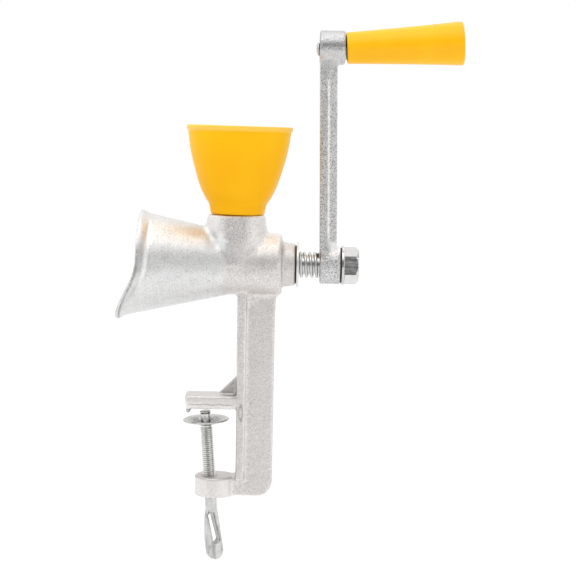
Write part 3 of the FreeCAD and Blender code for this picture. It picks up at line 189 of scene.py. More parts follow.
def cast_aluminium(name, light, mid, dark, body=False, arm=False, rough=(0.40, 0.58), grain=0.00022, contrast=1.0, fineness=1.0, flaws=()):
    """Sand-cast aluminium: mottled grey, fine pits, pebbled skin; the hood is skimmed smoother."""
    n = Net(name)
    n.set(Metallic=1.0)
    x, y, z = n.xyz()
    pebble = n.noise(980.0 * fineness, 4.0, 0.62, distortion=0.6)
    cells = n.voronoi(820.0 * fineness)
    patch = n.noise(70.0, 3.0, 0.5)
    fine = n.noise(3200.0, 2.0, 0.5)
    tone = n.math("ADD", n.math("MULTIPLY", pebble, 0.66), n.math("MULTIPLY", cells, 0.38))
    c0, c1 = 0.46 - 0.20 / contrast, 0.46 + 0.20 / contrast
    col = n.ramp(tone, [(c0, dark), (0.46, mid), (c1, light)])
    col = n.mix(n.span(patch, 0.35, 0.68, 0.0, 0.30), col, tuple(c * 0.88 for c in mid))
    pits = n.voronoi(260.0, rand=1.0)
    pit_mask = n.span(pits, 0.05, 0.14, 1.0, 0.0)
    pit_here = n.span(n.noise(190.0, 1.0), 0.58, 0.68, 0.0, 1.0)
    pit = n.math("MULTIPLY", pit_mask, pit_here)
    for px, py, pz, pr in flaws:
        d = n.add("ShaderNodeVectorMath", operation="DISTANCE")
        n.link(n.coord.outputs["Object"], d.inputs[0])
        d.inputs[1].default_value = (px * MM, py * MM, pz * MM)
        pit = n.math("MAXIMUM", pit, n.span(d.outputs["Value"], 0.4 * pr * MM, pr * MM, 1.0, 0.0))
    height = n.math("ADD", n.math("MULTIPLY", pebble, 0.75), n.math("MULTIPLY", fine, 0.22))
    height = n.math("SUBTRACT", height, n.math("MULTIPLY", pit, 0.9))
    ro = n.span(tone, 0.3, 0.7, rough[1], rough[0])
    ragged = n.span(n.noise(330.0, 3.0), 0.35, 0.65, -0.00028, 0.00028)
    patchiness = n.span(n.noise(420.0, 3.0), 0.35, 0.60, 0.55, 1.0)
    if body:
        lines = n.noise(1.0, 2.0, 0.6, n.mapping((2600.0, 34.0, 34.0)))
        wob = n.span(n.noise(260.0, 2.0), 0.3, 0.7, -0.0022, 0.0022)
        edge = n.math("ADD", n.math("ADD", x, wob), n.span(z, 0.094, 0.098, 0.0, -0.0014))
        hood = n.math("MULTIPLY", n.span(edge, 0.0052, 0.0092, 1.0, 0.0), n.span(z, 0.046, 0.050, 0.0, 1.0))
        neck_off = n.span(z, 0.1085, 0.1125, 1.0, 0.0)
        left = n.span(x, -0.0075, -0.0035, 1.0, 0.0)
        hood = n.math("MULTIPLY", hood, n.math("MAXIMUM", neck_off, left))
        grit = n.noise(1150.0, 4.0, 0.60)
        smear = n.noise(1.0, 3.0, 0.5, n.mapping((90.0, 210.0, 210.0)))
        smooth_tone = n.math("ADD", n.math("MULTIPLY", lines, 0.20), n.math("ADD", n.math("MULTIPLY", grit, 0.62), n.math("MULTIPLY", smear, 0.18)))
        smooth_col = n.ramp(smooth_tone, [(0.35, (0.535, 0.532, 0.532)), (0.48, (0.695, 0.692, 0.692)), (0.63, (0.81, 0.805, 0.80))])
        smooth_col = n.mix(n.math("MULTIPLY", pit, 0.62), smooth_col, (0.24, 0.22, 0.21))
        # lip round the mouth: painted shade on the strip beside the edge, a painted highlight on the crease behind it,
        # a painted shadow line at its foot
        lip = n.mark("lip")
        crease = n.all_of(n.band(lip, 5.3, 6.2, 7.3, 8.3), n.band(z, 0.0790, 0.0860, 0.1080, 0.1170))
        smooth_col = n.mix(n.math("MULTIPLY", crease, 0.75), smooth_col, (0.93, 0.925, 0.92))
        dull_and_shade = n.all_of(n.band(lip, 0.3, 0.9, 4.2, 5.2), n.band(z, 0.0800, 0.0880, 0.1000, 0.1110))
        smooth_col = n.mix(n.math("MULTIPLY", dull_and_shade, 0.42), smooth_col, (0.30, 0.295, 0.295))
        foot = n.all_of(n.band(n.math("ADD", lip, n.span(z, 0.060, 0.090, 0.0, 1.1)), 1.40, 1.85, 2.45, 3.50), n.span(z, 0.086, 0.094, 1.0, 0.0))
        smooth_col = n.mix(n.math("MULTIPLY", foot, n.math("MULTIPLY", patchiness, 0.74)), smooth_col, (0.20, 0.19, 0.18))
        # painted highlight along the ridge where the hood meets the neck, mixed in further down
        ridge = n.all_of(n.span(edge, 0.0062, 0.0080, 1.0, 0.0), n.span(x, 0.0020, 0.0042, 0.0, 1.0), n.band(z, 0.0980, 0.1005, 0.1085, 0.1120))
        # painted shade on the fillet where the hood meets the neck's left side
        dim = n.all_of(n.band(x, -0.0060, -0.0030, 0.0008, 0.0030), n.band(z, 0.0985, 0.1015, 0.1095, 0.1130))
        smooth_col = n.mix(n.math("MULTIPLY", dim, 0.44), smooth_col, (0.34, 0.337, 0.335))
        # painted shade on the gusset's sides, darker still where it meets the jaw's top
        nook = n.all_of(n.span(x, 0.0045, 0.0075, 0.0, 1.0), n.span(x, 0.0150, 0.0165, 1.0, 0.0), n.span(z, 0.0066, 0.0078, 0.0, 1.0), n.span(z, 0.0195, 0.0235, 1.0, 0.0))
        col = n.mix(n.math("MULTIPLY", nook, 0.62), col, tuple(c * 0.78 for c in dark))
        col = n.mix(n.all_of(nook, n.span(z, 0.0092, 0.0102, 0.60, 0.0)), col, tuple(c * 0.42 for c in dark))
        front = n.span(n.math("ABSOLUTE", y), 0.0080, 0.0088, 0.0, 1.0)
        # painted shade on the jaw's top
        deck = n.all_of(n.span(z, 0.0070, 0.0080, 0.0, 1.0), n.span(z, 0.0100, 0.0110, 1.0, 0.0), n.span(x, 0.0135, 0.0150, 1.0, 0.0))
        col = n.mix(n.math("MULTIPLY", deck, 0.82), col, tuple(c * 0.60 for c in mid))
        # painted shadow under the jaw's step and painted shade in the hollow end of its gripping lip; a dark line along
        # the flange's inner edge
        step = n.all_of(n.band(n.math("ADD", z, ragged), 0.00225, 0.00255, 0.00300, 0.00345), n.band(x, -0.0150, -0.0135, 0.0128, 0.0150), front)
        tooth = n.all_of(n.band(x, -0.0158, -0.0152, -0.0121, -0.0110), n.span(z, -0.0004, 0.0003, 1.0, 0.0))
        inner = n.all_of(n.band(n.math("ADD", x, ragged), 0.0150, 0.0158, 0.0163, 0.0168), n.band(z, -0.0430, -0.0400, 0.0005, 0.0022), front)
        marks_and_shade = n.math("MAXIMUM", n.math("MULTIPLY", step, 0.62), n.math("MAXIMUM", n.math("MULTIPLY", tooth, 0.62), n.math("MULTIPLY", inner, 0.58)))
        # painted shade on the lug's top
        shelf = n.all_of(n.band(z, -0.0448, -0.0438, -0.0422, -0.0412), n.span(x, 0.0138, 0.0152, 1.0, 0.0), n.span(n.math("ABSOLUTE", y), 0.0118, 0.0128, 1.0, 0.0))
        col = n.mix(n.math("MULTIPLY", shelf, 0.50), col, tuple(c * 0.85 for c in dark))
        # a lighter tone on the lug's round side, and painted light on the jaw
        lightened = n.math("MAXIMUM", n.math("MULTIPLY", n.all_of(n.span(z, -0.0448, -0.0440, 1.0, 0.0), n.span(x, 0.0120, 0.0140, 1.0, 0.0)), 0.50), n.math("MULTIPLY", n.all_of(n.band(z, -0.0020, 0.0005, 0.0085, 0.0095), n.span(x, 0.0120, 0.0160, 1.0, 0.0)), 0.48))
        col = n.mix(lightened, col, (0.86, 0.836, 0.82))
        # a cold lap: a long ring-shaped mark below the jaw's root
        lap_x = n.math("MULTIPLY", n.math("SUBTRACT", n.math("ADD", x, ragged), 0.0186), 1.0 / 0.0010)
        lap_z = n.math("MULTIPLY", n.math("ADD", z, 0.0022), 1.0 / 0.0046)
        lap = n.math("SQRT", n.math("ADD", n.math("MULTIPLY", lap_x, lap_x), n.math("MULTIPLY", lap_z, lap_z)))
        lap = n.all_of(n.band(lap, 0.62, 0.85, 1.10, 1.40), front)
        marks_and_shade = n.math("MAXIMUM", marks_and_shade, n.math("MULTIPLY", lap, 0.80))
        marks_and_shade = n.math("MULTIPLY", marks_and_shade, patchiness)
        # painted highlights, patchy, on the flange's outer edge and, fainter, along the seam between lug and web
        edge_highlight = n.all_of(n.band(x, 0.0203, 0.0209, 0.0215, 0.0222), n.band(z, -0.0420, -0.0390, 0.0560, 0.0620))
        seam = n.all_of(n.band(x, 0.0129, 0.0134, 0.0142, 0.0149), n.band(z, -0.0560, -0.0545, -0.0470, -0.0445), n.span(n.math("ABSOLUTE", y), 0.0085, 0.0095, 1.0, 0.0))
        edge_highlight = n.math("MULTIPLY", n.math("MAXIMUM", edge_highlight, n.math("MULTIPLY", seam, 0.35)), patchiness)
        col = n.mix(n.math("MULTIPLY", edge_highlight, 0.70), col, (0.95, 0.935, 0.92))
        # darken the painted shadow and shade lines and the cold lap's mark
        col = n.mix(marks_and_shade, col, tuple(c * 0.55 for c in dark))
        neck = n.all_of(n.span(z, 0.100, 0.106, 0.0, 1.0), n.span(x, -0.0075, -0.0045, 0.0, 1.0))
        height = n.math("MULTIPLY", height, n.math("ADD", n.math("MULTIPLY", neck, 0.9), 1.0))
        aside = n.span(n.math("ABSOLUTE", n.math("SUBTRACT", x, 0.01395)), 0.0055, 0.0115, 0.0, 1.0)
        pepper = n.span(n.noise(1700.0, 3.0, 0.6), 0.40, 0.54, 0.62, 0.0)
        col = n.mix(n.all_of(neck, pepper, n.math("SUBTRACT", 1.0, n.math("MULTIPLY", aside, 0.7))), col, tuple(c * 0.45 for c in dark))
        barrel = n.all_of(n.span(x, 0.0060, 0.0090, 0.0, 1.0), n.span(x, 0.0400, 0.0420, 1.0, 0.0), n.band(z, 0.0790, 0.0850, 0.0960, 0.1020))
        col = n.mix(n.all_of(barrel, pepper, n.span(n.noise(120.0, 2.0), 0.38, 0.60, 0.10, 0.70)), col, tuple(c * 0.50 for c in dark))
        shade = n.all_of(n.band(z, 0.0830, 0.0890, 0.0970, 0.1030), pepper)
        smooth_col = n.mix(n.math("MULTIPLY", shade, 0.42), smooth_col, (0.32, 0.317, 0.317))
        # painted highlight along the ridge where the hood meets the neck
        smooth_col = n.mix(n.math("MULTIPLY", ridge, 0.85), smooth_col, (0.95, 0.945, 0.94))
        # painted light on the neck's sides
        col = n.mix(n.all_of(neck, aside, n.span(tone, 0.36, 0.46, 0.1, 0.75)), col, (0.93, 0.92, 0.915))
        tail = n.all_of(n.span(x, 0.0405, 0.0435, 0.0, 1.0), n.span(z, 0.072, 0.075, 0.0, 1.0))
        col = n.mix(n.math("MULTIPLY", tail, 0.30), col, tuple(c * 0.70 for c in mid))
        col = n.mix(hood, n.mix(n.math("MULTIPLY", pit, 0.55), col, tuple(c * 0.62 for c in dark)), smooth_col)
        smooth_h = n.math("ADD", n.math("MULTIPLY", lines, 0.30), n.math("MULTIPLY", grit, 1.15))
        smooth_h = n.math("SUBTRACT", smooth_h, n.math("MULTIPLY", pit, 0.5))
        height = n.mixf(hood, height, smooth_h)
        height = n.math("SUBTRACT", height, n.math("MULTIPLY", marks_and_shade, 0.5))
        ro = n.mixf(hood, ro, n.span(smooth_tone, 0.3, 0.7, 0.46, 0.32))
    else:
        col = n.mix(n.math("MULTIPLY", pit, 0.6), col, tuple(c * 0.6 for c in dark))
    if arm:
        # painted highlight along the arm's parting ridge, painted shade in the hollow above the hub
        run = n.math("SUBTRACT", x, n.span(z, 0.090, 0.2233, 0.07095, 0.06860, clamp=False))
        line = n.span(n.math("ABSOLUTE", run), 0.00035, 0.00085, 1.0, 0.0)
        line = n.math("MULTIPLY", line, n.span(n.math("ABSOLUTE", y), 0.0064, 0.0070, 0.0, 1.0))
        line = n.math("MULTIPLY", line, n.math("MULTIPLY", n.span(z, 0.1035, 0.1065, 0.0, 1.0), n.span(z, 0.2010, 0.2050, 1.0, 0.0)))
        line = n.math("MULTIPLY", line, n.span(n.noise(420.0, 3.0), 0.35, 0.60, 0.45, 1.0))
        col = n.mix(line, col, (0.95, 0.94, 0.93))
        ro = n.mixf(line, ro, 0.62)
        hollow = n.all_of(n.band(n.math("ADD", z, n.math("MULTIPLY", ragged, 3.0)), 0.0935, 0.0952, 0.0975, 0.0998), n.span(n.math("ADD", x, n.math("MULTIPLY", ragged, 3.0)), 0.0700, 0.0722, 1.0, 0.0))
        col = n.mix(n.math("MULTIPLY", hollow, 0.55), col, tuple(c * 0.75 for c in dark))
        top = n.span(z, 0.2090, 0.2130, 0.0, 1.0)
        col = n.mix(n.math("MULTIPLY", top, 0.22), col, tuple(c * 0.60 for c in mid))
        # painted reflections on the boss: its top evened to a plain grey, a dark band below that and a lighter band
        # lower down
        col = n.mix(n.span(n.math("ADD", z, ragged), 0.2272, 0.2290, 0.0, 0.60), col, (0.50, 0.498, 0.497))
        col = n.mix(n.math("MULTIPLY", n.band(z, 0.2105, 0.2125, 0.2205, 0.2222), 0.50), col, (0.70, 0.693, 0.693))
        col = n.mix(n.math("MULTIPLY", n.band(n.math("ADD", z, ragged), 0.2226, 0.2240, 0.2260, 0.2276), 0.38), col, tuple(c * 0.85 for c in dark))
        # painted highlight on the hub's top beside the arm, and painted shade on the band below it
        painted_light = n.all_of(n.band(z, 0.0982, 0.1000, 0.1036, 0.1058), n.span(x, 0.0708, 0.0728, 0.0, 1.0))
        belly = n.all_of(n.band(n.math("ADD", z, ragged), 0.0924, 0.0936, 0.0964, 0.0990), n.span(x, 0.0700, 0.0715, 0.0, 1.0))
        col = n.mix(n.math("MULTIPLY", belly, 0.36), col, tuple(c * 0.60 for c in mid))
        col = n.mix(n.math("MULTIPLY", painted_light, 0.90), col, (0.94, 0.93, 0.925))
    n.color(col)
    n.rough(ro)
    n.bump(height, grain)
    return n.mat


def plated(name, base, rough=(0.14, 0.30), mottle=0.10, scale=420.0, dull_and_shade=0.30, thread=False, hollow_shade=0.0, streak=0.0, painted_light=0.0):
    """Bright zinc plating: cool grey, faint clouding, fine drawing marks and a few dull spots."""
    n = Net(name)
    n.set(Metallic=1.0)
    cloud = n.noise(scale, 4.0, 0.6)
    fine = n.noise(2600.0, 2.0, 0.5)
    col = n.ramp(cloud, [(0.30, tuple(c * (1 - 2.2 * mottle) for c in base)), (0.52, base), (0.75, tuple(min(1.0, c * (1 + mottle)) for c in base))])
    spots = n.span(n.voronoi(330.0), 0.05, 0.13, 1.0, 0.0)
    spots = n.math("MULTIPLY", spots, n.span(n.noise(150.0, 1.0), 0.5, 0.62, 0.0, 1.0))
    col = n.mix(n.math("MULTIPLY", spots, dull_and_shade), col, tuple(c * 0.45 for c in base))
    if painted_light:
        # painted shade on the nut's top flat, patchy
        high = n.xyz()[2]
        flat = n.span(high, 0.0955, 0.0961, 0.0, painted_light)
        col = n.mix(n.math("MULTIPLY", flat, n.span(n.noise(700.0, 3.0), 0.35, 0.60, 0.82, 1.0)), col, tuple(c * 0.45 for c in base))
        # painted reflections on two flats: dark and light streaks
        sides = n.span(n.math("ABSOLUTE", n.math("SUBTRACT", high, 0.090)), 0.0054, 0.0059, 1.0, 0.0)
        reflection_streaks = n.noise(1.0, 3.0, 0.65, n.mapping((45.0, 620.0, 620.0)))
        col = n.mix(n.math("MULTIPLY", sides, n.span(reflection_streaks, 0.36, 0.52, 0.60, 0.0)), col, tuple(c * 0.35 for c in base))
        col = n.mix(n.math("MULTIPLY", sides, n.span(reflection_streaks, 0.54, 0.61, 0.0, 0.75)), col, tuple(min(1.0, c * 1.4) for c in base))
    if streak:
        # long dark streaks drawn out along the piece
        long = n.noise(1.0, 3.0, 0.6, n.mapping((420.0, 420.0, 95.0)), distortion=0.5)
        col = n.mix(n.span(long, 0.50, 0.66, 0.0, streak), col, tuple(c * 0.30 for c in base))
    if hollow_shade:
        # painted shade where the mesh is marked as a hollow or an inner edge
        shade_mask = n.math("MULTIPLY", n.mark("shade_mask"), n.span(n.noise(360.0, 3.0, 0.6, distortion=0.8), 0.34, 0.60, 0.35, 1.0))
        col = n.mix(n.math("MULTIPLY", shade_mask, hollow_shade), col, tuple(c * 0.18 for c in base))
    if thread:
        # painted shade in the thread's root
        off = n.add("ShaderNodeVectorMath", operation="SUBTRACT")
        n.link(n.coord.outputs["Object"], off.inputs[0])
        off.inputs[1].default_value = SCREW_AT * MM
        run = n.add("ShaderNodeVectorMath", operation="DOT_PRODUCT")
        n.link(off.outputs["Vector"], run.inputs[0])
        run.inputs[1].default_value = SCREW_AX
        part = n.add("ShaderNodeVectorMath", operation="SCALE")
        part.inputs[0].default_value = SCREW_AX
        n.link(run.outputs["Value"], part.inputs["Scale"])
        rej = n.add("ShaderNodeVectorMath", operation="SUBTRACT")
        n.link(off.outputs["Vector"], rej.inputs[0])
        n.link(part.outputs["Vector"], rej.inputs[1])
        out = n.add("ShaderNodeVectorMath", operation="LENGTH")
        n.link(rej.outputs["Vector"], out.inputs[0])
        root = n.all_of(n.span(out.outputs["Value"], 0.00332, 0.00378, 1.0, 0.0), n.band(run.outputs["Value"], -0.0576, -0.0572, -0.0130, -0.0122))
        # a painted dark reflection streak runs down the thread with a painted pale one beside it
        across = n.add("ShaderNodeVectorMath", operation="DOT_PRODUCT")
        n.link(rej.outputs["Vector"], across.inputs[0])
        across.inputs[1].default_value = (math.cos(LEAN_S), 0.0, math.sin(LEAN_S))
        side = n.math("ADD", across.outputs["Value"], n.math("MULTIPLY", n.math("SUBTRACT", n.noise(420.0, 2.0), 0.5), 0.0007))
        along = n.band(run.outputs["Value"], -0.0576, -0.0572, -0.0150, -0.0130)
        dark_streak = n.all_of(n.band(side, -0.0013, -0.0008, 0.0009, 0.0013), along)
        pale_streak = n.all_of(n.band(side, 0.0012, 0.0016, 0.0025, 0.0028), along)
        col = n.mix(n.math("MULTIPLY", root, n.math("SUBTRACT", 0.46, n.math("MULTIPLY", n.math("MAXIMUM", dark_streak, pale_streak), 0.28))), col, (0.10, 0.097, 0.092))
        col = n.mix(n.math("MULTIPLY", dark_streak, 0.42), col, (0.22, 0.222, 0.215))
        n.link(n.math("SUBTRACT", 1.0, n.math("MULTIPLY", pale_streak, 0.75)), n.bsdf.inputs["Metallic"])
    n.color(col)
    n.rough(n.span(n.math("ADD", n.math("MULTIPLY", cloud, 0.7), n.math("MULTIPLY", fine, 0.3)), 0.35, 0.7, rough[0], rough[1]))
    n.bump(n.math("ADD", n.math("MULTIPLY", cloud, 0.6), n.math("MULTIPLY", fine, 0.4)), 0.00002)
    return n.mat


def moulded(name, base, deep, pale, shine=0.14):
    """Moulded plastic: strong even colour with slight clouding, faint flow marks and a soft gloss."""
    n = Net(name)
    n.set(IOR=1.46, Specular_IOR_Level=shine, Subsurface_Weight=0.10, Subsurface_Scale=0.004)
    n.bsdf.inputs["Subsurface Radius"].default_value = (1.0, 0.45, 0.08)
    flow = n.noise(1.0, 3.0, 0.5, n.mapping((45.0, 45.0, 16.0)))
    fine = n.noise(1500.0, 2.0, 0.5)
    col = n.ramp(flow, [(0.30, deep), (0.52, base), (0.74, pale)])
    speck = n.math("MULTIPLY", n.span(n.voronoi(240.0), 0.03, 0.09, 1.0, 0.0), n.span(n.noise(90.0, 1.0), 0.58, 0.66, 0.0, 1.0))
    x, y, z = n.xyz()
    # painted light: the hopper's upper part turns paler towards the top
    col = n.mix(n.all_of(n.span(z, 0.148, 0.172, 0.0, 0.60), n.span(x, 0.045, 0.055, 1.0, 0.0)), col, (1.0, 0.58, 0.003))
    # painted highlight round the hopper's brim
    brim = n.all_of(n.band(z, 0.1712, 0.1720, 0.1800, 0.1810), n.span(x, 0.045, 0.055, 1.0, 0.0))
    col = n.mix(n.math("MULTIPLY", brim, 0.55), col, (1.0, 0.66, 0.16))
    n.color(n.mix(n.math("MULTIPLY", speck, 0.30), col, tuple(c * 0.72 for c in deep)))
    n.rough(n.span(n.math("ADD", n.math("MULTIPLY", flow, 0.5), n.math("MULTIPLY", fine, 0.5)), 0.35, 0.68, 0.30, 0.42))
    n.bump(n.math("ADD", n.math("MULTIPLY", flow, 0.5), n.math("MULTIPLY", fine, 0.16)), 0.00006)
    return n.mat


def machined(name, base, metallic, rough, lines=1500.0):
    """Turned or ground metal with fine marks across the axis and oily clouding."""
    n = Net(name)
    n.set(Metallic=metallic)
    marks = n.noise(1.0, 2.0, 0.6, n.mapping((lines, 60.0, 60.0)))
    cloud = n.noise(240.0, 4.0, 0.6)
    t = n.math("ADD", n.math("MULTIPLY", marks, 0.5), n.math("MULTIPLY", cloud, 0.5))
    n.color(n.ramp(t, [(0.30, tuple(c * 0.62 for c in base)), (0.52, base), (0.74, tuple(min(1.0, c * 1.2) for c in base))]))
    n.rough(n.span(t, 0.3, 0.7, rough + 0.10, rough - 0.08))
    n.bump(t, 0.00006)
    return n.mat


def fibre_board(name):
    """Pressed dark fibre: near black, matt, with short pale strands."""
    n = Net(name)
    strands = n.noise(1.0, 3.0, 0.7, n.mapping((900.0, 2400.0, 600.0)), distortion=1.4)
    cloud = n.noise(500.0, 3.0)
    n.color(n.ramp(strands, [(0.34, (0.010, 0.009, 0.008)), (0.56, (0.030, 0.027, 0.024)), (0.78, (0.085, 0.075, 0.062))]))
    n.rough(n.span(cloud, 0.3, 0.7, 0.72, 0.92))
    n.bump(strands, 0.0001)
    return n.mat


FLAWS = (
    (-14.9, -24.2, 87.2, 0.75), (-11.0, -22.6, 93.6, 0.65), (-1.4, -20.0, 80.6, 0.75), (-2.4, -15.2, 74.2, 0.7),
    (-20.5, -25.0, 83.5, 0.5), (-27.0, -26.0, 79.0, 0.5), (-6.0, -21.5, 84.0, 0.5), (12.5, -19.0, 88.0, 0.5),
    (24.5, -6.3, 3.5, 0.8), (27.0, -6.3, 6.0, 0.55), (23.5, -6.3, -1.5, 0.5), (33.0, -6.3, -20.0, 0.5),
)
LEAN_S = math.radians(4.3)
SCREW_AT = Vector((-3.97, 0.0, 0.0))
SCREW_AX = Vector((-math.sin(LEAN_S), 0.0, math.cos(LEAN_S)))
MAT = {
    "cast_aluminium": cast_aluminium("cast_aluminium_skin", (0.805, 0.778, 0.760), (0.695, 0.668, 0.650), (0.50, 0.475, 0.46), body=True, rough=(0.41, 0.57), grain=0.00028, contrast=0.95, flaws=FLAWS),
    "cast_aluminium_arm": cast_aluminium("cast_aluminium_arm_skin", (0.725, 0.725, 0.727), (0.49, 0.488, 0.489), (0.14, 0.138, 0.138), arm=True, rough=(0.27, 0.46), grain=0.00040, contrast=1.80, fineness=1.35),
    "yellow_plastic": moulded("yellow_moulded", (1.0, 0.500, 0.002), (0.99, 0.470, 0.001), (1.0, 0.530, 0.004)),
    "burr_iron": machined("burr_iron_cut", (0.26, 0.255, 0.25), 0.95, 0.42),
    "shaft_steel": machined("shaft_steel_turned", (0.60, 0.60, 0.61), 1.0, 0.30, 2200.0),
    "plated_steel": plated("zinc_plating", (0.60, 0.597, 0.585), (0.20, 0.36), 0.05, dull_and_shade=0.12),
    "plated_nut": plated("bright_plating", (0.70, 0.695, 0.69), (0.17, 0.28), 0.05, 300.0, painted_light=0.56),
    "bronze": machined("bush_bronze", (0.50, 0.33, 0.16), 1.0, 0.38),
    "fibre": fibre_board("fibre_washer"),
}
GRIP = moulded("yellow_grip", (1.0, 0.500, 0.002), (0.99, 0.470, 0.001), (1.0, 0.530, 0.004), 0.30)
THREAD = plated("zinc_thread", (0.86, 0.86, 0.845), (0.22, 0.36), 0.06, dull_and_shade=0.12, thread=True)
FORGED = plated("zinc_forged", (0.60, 0.60, 0.59), (0.13, 0.28), 0.10, 260.0, dull_and_shade=0.20, hollow_shade=0.52, streak=0.55)
DISHED = plated("zinc_dish", (0.56, 0.555, 0.54), (0.20, 0.36), 0.05, dull_and_shade=0.12, hollow_shade=0.80)
DULL = plated("zinc_dull", (0.76, 0.757, 0.75), (0.44, 0.58), 0.05, dull_and_shade=0.12)
SLOT_OF = {s["node"]: s["material_slot"] for s in frame["record"]["subparts"]}


def dress(obj, slot_name):
    obj.data.materials.clear()
    obj.data.materials.append(MAT[slot_name])


for name, ob in NODES.items():
    for s in ob.material_slots:
        s.material = DULL if name == "thrust_washer" else MAT[SLOT_OF[name]]

# ------------------------------------------------------------------ mesh helpers


def new_piece(name, verts, faces, node, body, smooth=True):
    """A visual piece that stands for a CAD node and moves with its body."""
    me = bpy.data.meshes.new(name)
    me.from_pydata([tuple(v) for v in verts], [], faces)
    me.update()
    ob = bpy.data.objects.new(name, me)
    scene.collection.objects.link(ob)
    if smooth:
        me.shade_smooth()
    dress(ob, SLOT_OF[node])
    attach(ob, body)
    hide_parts(node)
    return ob


def catmull(points, per):
    """Points along a smooth curve through the given ones."""
    p = [np.array(q, float) for q in points]
    p = [2 * p[0] - p[1]] + p + [2 * p[-1] - p[-2]]
    out = []
    for i in range(1, len(p) - 2):
        a, b, c, d = p[i - 1], p[i], p[i + 1], p[i + 2]
        for k in range(per):
            t = k / per
            out.append(0.5 * ((2 * b) + (c - a) * t + (2 * a - 5 * b + 4 * c - d) * t * t + (3 * b - a - 3 * c + d) * t ** 3))
    out.append(p[-2])
    return out


def corner(p0, p1, p2, r, n=5):
    """Round the corner at p1 with an arc-like curve that starts r before it and ends r after it."""
    p0, p1, p2 = (np.array(q, float) for q in (p0, p1, p2))
    a = p1 + (p0 - p1) / np.linalg.norm(p0 - p1) * r
    b = p1 + (p2 - p1) / np.linalg.norm(p2 - p1) * r
    return [(1 - t) ** 2 * a + 2 * t * (1 - t) * p1 + t * t * b for t in np.linspace(0, 1, n)]


def lathe(profile, frame_of, seg, wobble=None):
    """Closed turned mesh from a closed profile of (station, radius). frame_of gives base, axis, u, v."""
    base, ax, u, v = (np.array(q, float) for q in frame_of)
    prof = np.array(profile, float)
    m = len(prof)
    verts = []
    for k in range(seg):
        t = 2 * math.pi * k / seg
        d = u * math.cos(t) + v * math.sin(t)
        for s, r in prof:
            if wobble:
                r = r + wobble(s, t, r)
            verts.append((base + ax * s + d * r) * MM)
    faces = []
    for k in range(seg):
        k2 = (k + 1) % seg
        for i in range(m):
            i2 = (i + 1) % m
            faces.append((k * m + i, k * m + i2, k2 * m + i2, k2 * m + i))
    return verts, faces


def fix_normals(ob):
    bm = bmesh.new()
    bm.from_mesh(ob.data)
    bmesh.ops.remove_doubles(bm, verts=bm.verts, dist=1e-7)
    bmesh.ops.recalc_face_normals(bm, faces=bm.faces)
    bm.to_mesh(ob.data)
    bm.free()
    ob.data.shade_smooth()


def edge_pairs(me):
    e = np.empty(len(me.edges) * 2, np.int64)
    me.edges.foreach_get("vertices", e)
    return e.reshape(-1, 2)


def coords(me):
    c = np.empty(len(me.vertices) * 3)
    me.vertices.foreach_get("co", c)
    return c.reshape(-1, 3)


def relax(co, edges, weight, steps, lam=0.5, mu=-0.52):
    """Smooth without shrinking, by weight."""
    n = len(co)
    deg = np.bincount(edges.ravel(), minlength=n).astype(float)[:, None]
    deg[deg == 0] = 1
    for _ in range(steps):
        for f in (lam, mu):
            acc = np.zeros_like(co)
            for k in range(3):
                acc[:, k] = np.bincount(edges[:, 0], co[edges[:, 1], k], n) + np.bincount(edges[:, 1], co[edges[:, 0], k], n)
            co = co + (acc / deg - co) * f * weight[:, None]
    return co


def melt(co, edges, weight, steps):
    """Plain smoothing, which rounds corners off, by weight."""
    n = len(co)
    deg = np.bincount(edges.ravel(), minlength=n).astype(float)[:, None]
    deg[deg == 0] = 1
    for _ in range(steps):
        acc = np.zeros_like(co)
        for k in range(3):
            acc[:, k] = np.bincount(edges[:, 0], co[edges[:, 1], k], n) + np.bincount(edges[:, 1], co[edges[:, 0], k], n)
        co = co + (acc / deg - co) * 0.5 * weight[:, None]
    return co


def recast(node, name, body, voxel, shape, paint=None, cut=None):
    """A cast piece: the CAD solid remeshed finely, its edges melted round, then given a cast skin.
    A cut is a point and a direction: what lies beyond it is left off."""
    src = NODES[node]
    bm = bmesh.new()
    bm.from_mesh(src.data)
    bmesh.ops.remove_doubles(bm, verts=bm.verts, dist=2e-6)
    if cut:
        bmesh.ops.bisect_plane(bm, geom=bm.verts[:] + bm.edges[:] + bm.faces[:], dist=1e-7, plane_co=cut[0], plane_no=cut[1], clear_outer=True)
        bmesh.ops.holes_fill(bm, edges=[e for e in bm.edges if e.is_boundary], sides=0)
    me = bpy.data.meshes.new(name + "_src")
    bm.to_mesh(me)
    bm.free()
    tmp = bpy.data.objects.new(name + "_src", me)
    scene.collection.objects.link(tmp)
    mod = tmp.modifiers.new("skin", "REMESH")
    mod.mode = "VOXEL"
    mod.voxel_size = voxel
    deps = bpy.context.evaluated_depsgraph_get()
    out = bpy.data.meshes.new_from_object(tmp.evaluated_get(deps))
    bpy.data.objects.remove(tmp)
    bpy.data.meshes.remove(me)
    out.name = name
    ob = bpy.data.objects.new(name, out)
    scene.collection.objects.link(ob)
    co = coords(out)
    co = shape(co, edge_pairs(out), out)
    out.vertices.foreach_set("co", co.ravel())
    out.update()
    if paint:
        paint(out, co)
    out.shade_smooth()
    dress(ob, SLOT_OF[node])
    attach(ob, body)
    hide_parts(node)
    print(name, len(out.polygons), "faces")
    return ob


def normals_of(me, co):
    me.vertices.foreach_set("co", co.ravel())
    me.update()
    n = np.empty(len(co) * 3)
    me.vertices.foreach_get("normal", n)
    return n.reshape(-1, 3)


def skin_noise(co, scale, seed, octaves=2):
    off = Vector((seed * 13.7, seed * 7.1, seed * 3.3))
    out = np.empty(len(co))
    for i, c in enumerate(co):
        p = Vector(c) * scale + off
        v = noise.noise(p)
        if octaves > 1:
            v += 0.5 * noise.noise(p * 2.03)
        out[i] = v
    return out


# ------------------------------------------------------------------ cast pieces


def ramp01(v, a, b):
    t = np.clip((v - a) / (b - a), 0, 1)
    return t * t * (3 - 2 * t)


